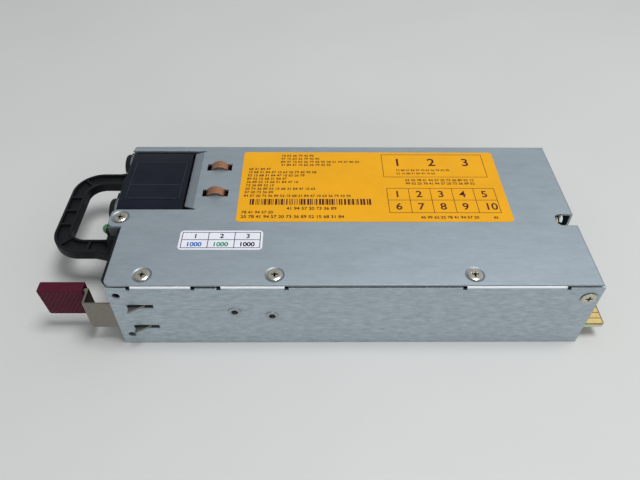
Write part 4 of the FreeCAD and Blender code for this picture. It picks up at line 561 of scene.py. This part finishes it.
maroon_ink = moulded("maroon_ink", (0.050, 0.008, 0.008), 0.45, 0.2)
black_ink = moulded("black_ink", (0.010, 0.009, 0.011), 0.45, 0.2)
blue_ink = moulded("blue_ink", (0.008, 0.100, 0.340), 0.45, 0.2)
green_ink = moulded("green_ink", (0.008, 0.200, 0.110), 0.45, 0.2)
piece("rating_figures", mesh_of("rating_figures", rating_print), maroon_ink, "housing")
piece("rating_bars", mesh_of("rating_bars", bar_field), maroon_ink, "housing")
piece("inspection_grid", mesh_of("inspection_grid", inspection_print), black_ink, "housing")
for column, ink in enumerate((blue_ink, green_ink)):
    marks = mesh_of(f"inspection_marks_{column}", lambda shape: inspection_mark(shape, column))
    piece(f"inspection_marks_{column}", marks, ink, "housing")


# ---------------------------------------------------------------- folds of the fan film

def film_folds(shape):
    """A raised crease round the overlapped panel of the film, and the edge of the tape that holds it."""
    low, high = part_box("fan_film")
    sunk, rise, line = 0.06 * MM, 0.14 * MM, 0.5 * MM
    bottom = high[2] - sunk
    x0, x1 = low[0] + 2.6 * MM, high[0] - 1.8 * MM
    y0, y1 = low[1] + 6.8 * MM, high[1] - 8.6 * MM
    tape = y0 + 0.35 * (y1 - y0)
    ruled_frame(shape, (x0, y0), (x1, y1), bottom, line, rise)
    brick(shape, (x0 + line, tape, bottom), (x1 - line, tape + line, bottom + rise * 0.8))


# Lighter than the film: a painted sheen along the raised creases and the tape's edge
film_crease_sheen = moulded("film_crease_sheen", (0.011, 0.013, 0.021), 0.35, 0.3)
piece("film_folds", mesh_of("film_folds", film_folds), film_crease_sheen, "housing")


# ---------------------------------------------------------------- latch cap grip

def knurl(shape):
    """Low pyramids in staggered rows over the pressed face of the cap."""
    low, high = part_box("latch_cap")
    pitch, row_pitch, half_wide, half_high = 1.85 * MM, 1.42 * MM, 0.84 * MM, 1.22 * MM
    rise, margin, sink = 0.34 * MM, 1.3 * MM, 0.05 * MM
    columns = int((high[0] - low[0] - 2 * margin) / pitch)
    rows = int((high[2] - low[2] - 2 * margin) / row_pitch)
    middle_x = (low[0] + high[0]) / 2
    middle_z = (low[2] + high[2]) / 2
    for row in range(rows):
        count = columns - row % 2
        for column in range(count):
            x = middle_x + (column - (count - 1) / 2) * pitch
            z = middle_z + (row - (rows - 1) / 2) * row_pitch
            ring = [shape.verts.new((x + dx * half_wide, low[1] + sink, z + dz * half_high))
                    for dx, dz in ((1, 0), (0, 1), (-1, 0), (0, -1))]
            tip = shape.verts.new((x, low[1] - rise, z))
            shape.faces.new(ring)
            for i in range(4):
                shape.faces.new((ring[i], ring[(i + 1) % 4], tip))


def knurled(name, color):
    """The cap's plastic, with painted shade on the downward faces of the pyramids."""
    finish = Finish(name, color, 0.5, **{"Specular IOR Level": 0.2})
    mottling = finish.noise(420)
    finish.tint(mottling, 0.9, 1.1)
    # Painted shade on the pyramids' downward faces
    finish.overlay(finish.slanting(-0.9, -0.08), (0.010, 0.002, 0.004))
    finish.shine(mottling, 0.45, 0.55)
    finish.bump(finish.noise(1500), 0.01 * MM, 0.4)
    return finish.material


grip_burgundy = knurled("grip_burgundy", (0.075, 0.008, 0.022))
piece("cap_knurl", mesh_of("cap_knurl", knurl), grip_burgundy, "latch")


# ---------------------------------------------------------------- floor, light, camera

def area_light(name, place, width, height, power):
    """A rectangular lamp that faces the origin."""
    light = bpy.data.lights.new(name, "AREA")
    light.shape = "RECTANGLE"
    light.size, light.size_y = width, height
    light.energy = power
    obj = bpy.data.objects.new(name, light)
    facing = (-Vector(place)).to_track_quat("-Z", "Y")
    obj.matrix_world = Matrix.Translation(place) @ facing.to_matrix().to_4x4()
    bpy.context.scene.collection.objects.link(obj)


def floor_plane(shape):
    """A wide square, set lower than the case's underside so that the two faces don't coincide."""
    half = 3.0
    just_below = -0.1 * MM
    corners = ((-half, -half), (half, -half), (half, half), (-half, half))
    shape.faces.new([shape.verts.new((x, y, just_below)) for x, y in corners])


def floor():
    """A wide pale floor with a faint tooth."""
    finish = Finish("floor_white", (0.50, 0.505, 0.495), 0.6)
    finish.tint(finish.noise(9), 0.985, 1.015)
    finish.bump(finish.noise(700), 0.05 * MM, 0.3)
    mesh = mesh_of("floor", floor_plane)
    obj = bpy.data.objects.new("floor", mesh)
    mesh.materials.append(finish.material)
    bpy.context.scene.collection.objects.link(obj)


def world():
    """Pale surroundings, brighter towards the card edge."""
    surroundings = bpy.data.worlds.new("studio")
    surroundings.use_nodes = True
    dim, bright = 0.29, 0.67
    tree = surroundings.node_tree
    background = tree.nodes["Background"]
    background.inputs["Color"].default_value = (0.95, 0.98, 1.0, 1)
    parts = tree.nodes.new("ShaderNodeSeparateXYZ")
    ranged = tree.nodes.new("ShaderNodeMapRange")
    for socket, number in (("From Min", -1), ("From Max", 1), ("To Min", dim), ("To Max", bright)):
        ranged.inputs[socket].default_value = number
    tree.links.new(tree.nodes.new("ShaderNodeTexCoord").outputs["Generated"], parts.inputs["Vector"])
    tree.links.new(parts.outputs["X"], ranged.inputs["Value"])
    tree.links.new(ranged.outputs["Result"], background.inputs["Strength"])
    bpy.context.scene.world = surroundings


def camera():
    """Looks down at the latch side and the label, as the photograph does."""
    place = Vector((-0.016351, -0.180483, 0.205190))
    tilt, roll = math.radians(43.941), math.radians(-0.790)
    lens = bpy.data.cameras.new("camera")
    lens.sensor_width = 36.0
    lens.lens = 32.142
    lens.clip_start = 0.01
    obj = bpy.data.objects.new("camera", lens)
    turn = Matrix.Rotation(tilt, 4, "X") @ Matrix.Rotation(roll, 4, "Y")
    obj.matrix_world = Matrix.Translation(place) @ turn
    bpy.context.scene.collection.objects.link(obj)
    bpy.context.scene.camera = obj


floor()
world()
area_light("overhead", (0.26, -0.07, 1.1), width=0.42, height=0.36, power=9.4)
area_light("window", (0.1, -1.15, 0.52), width=1.8, height=0.24, power=4.8)
camera()

bpy.context.scene.view_settings.view_transform = "Standard"
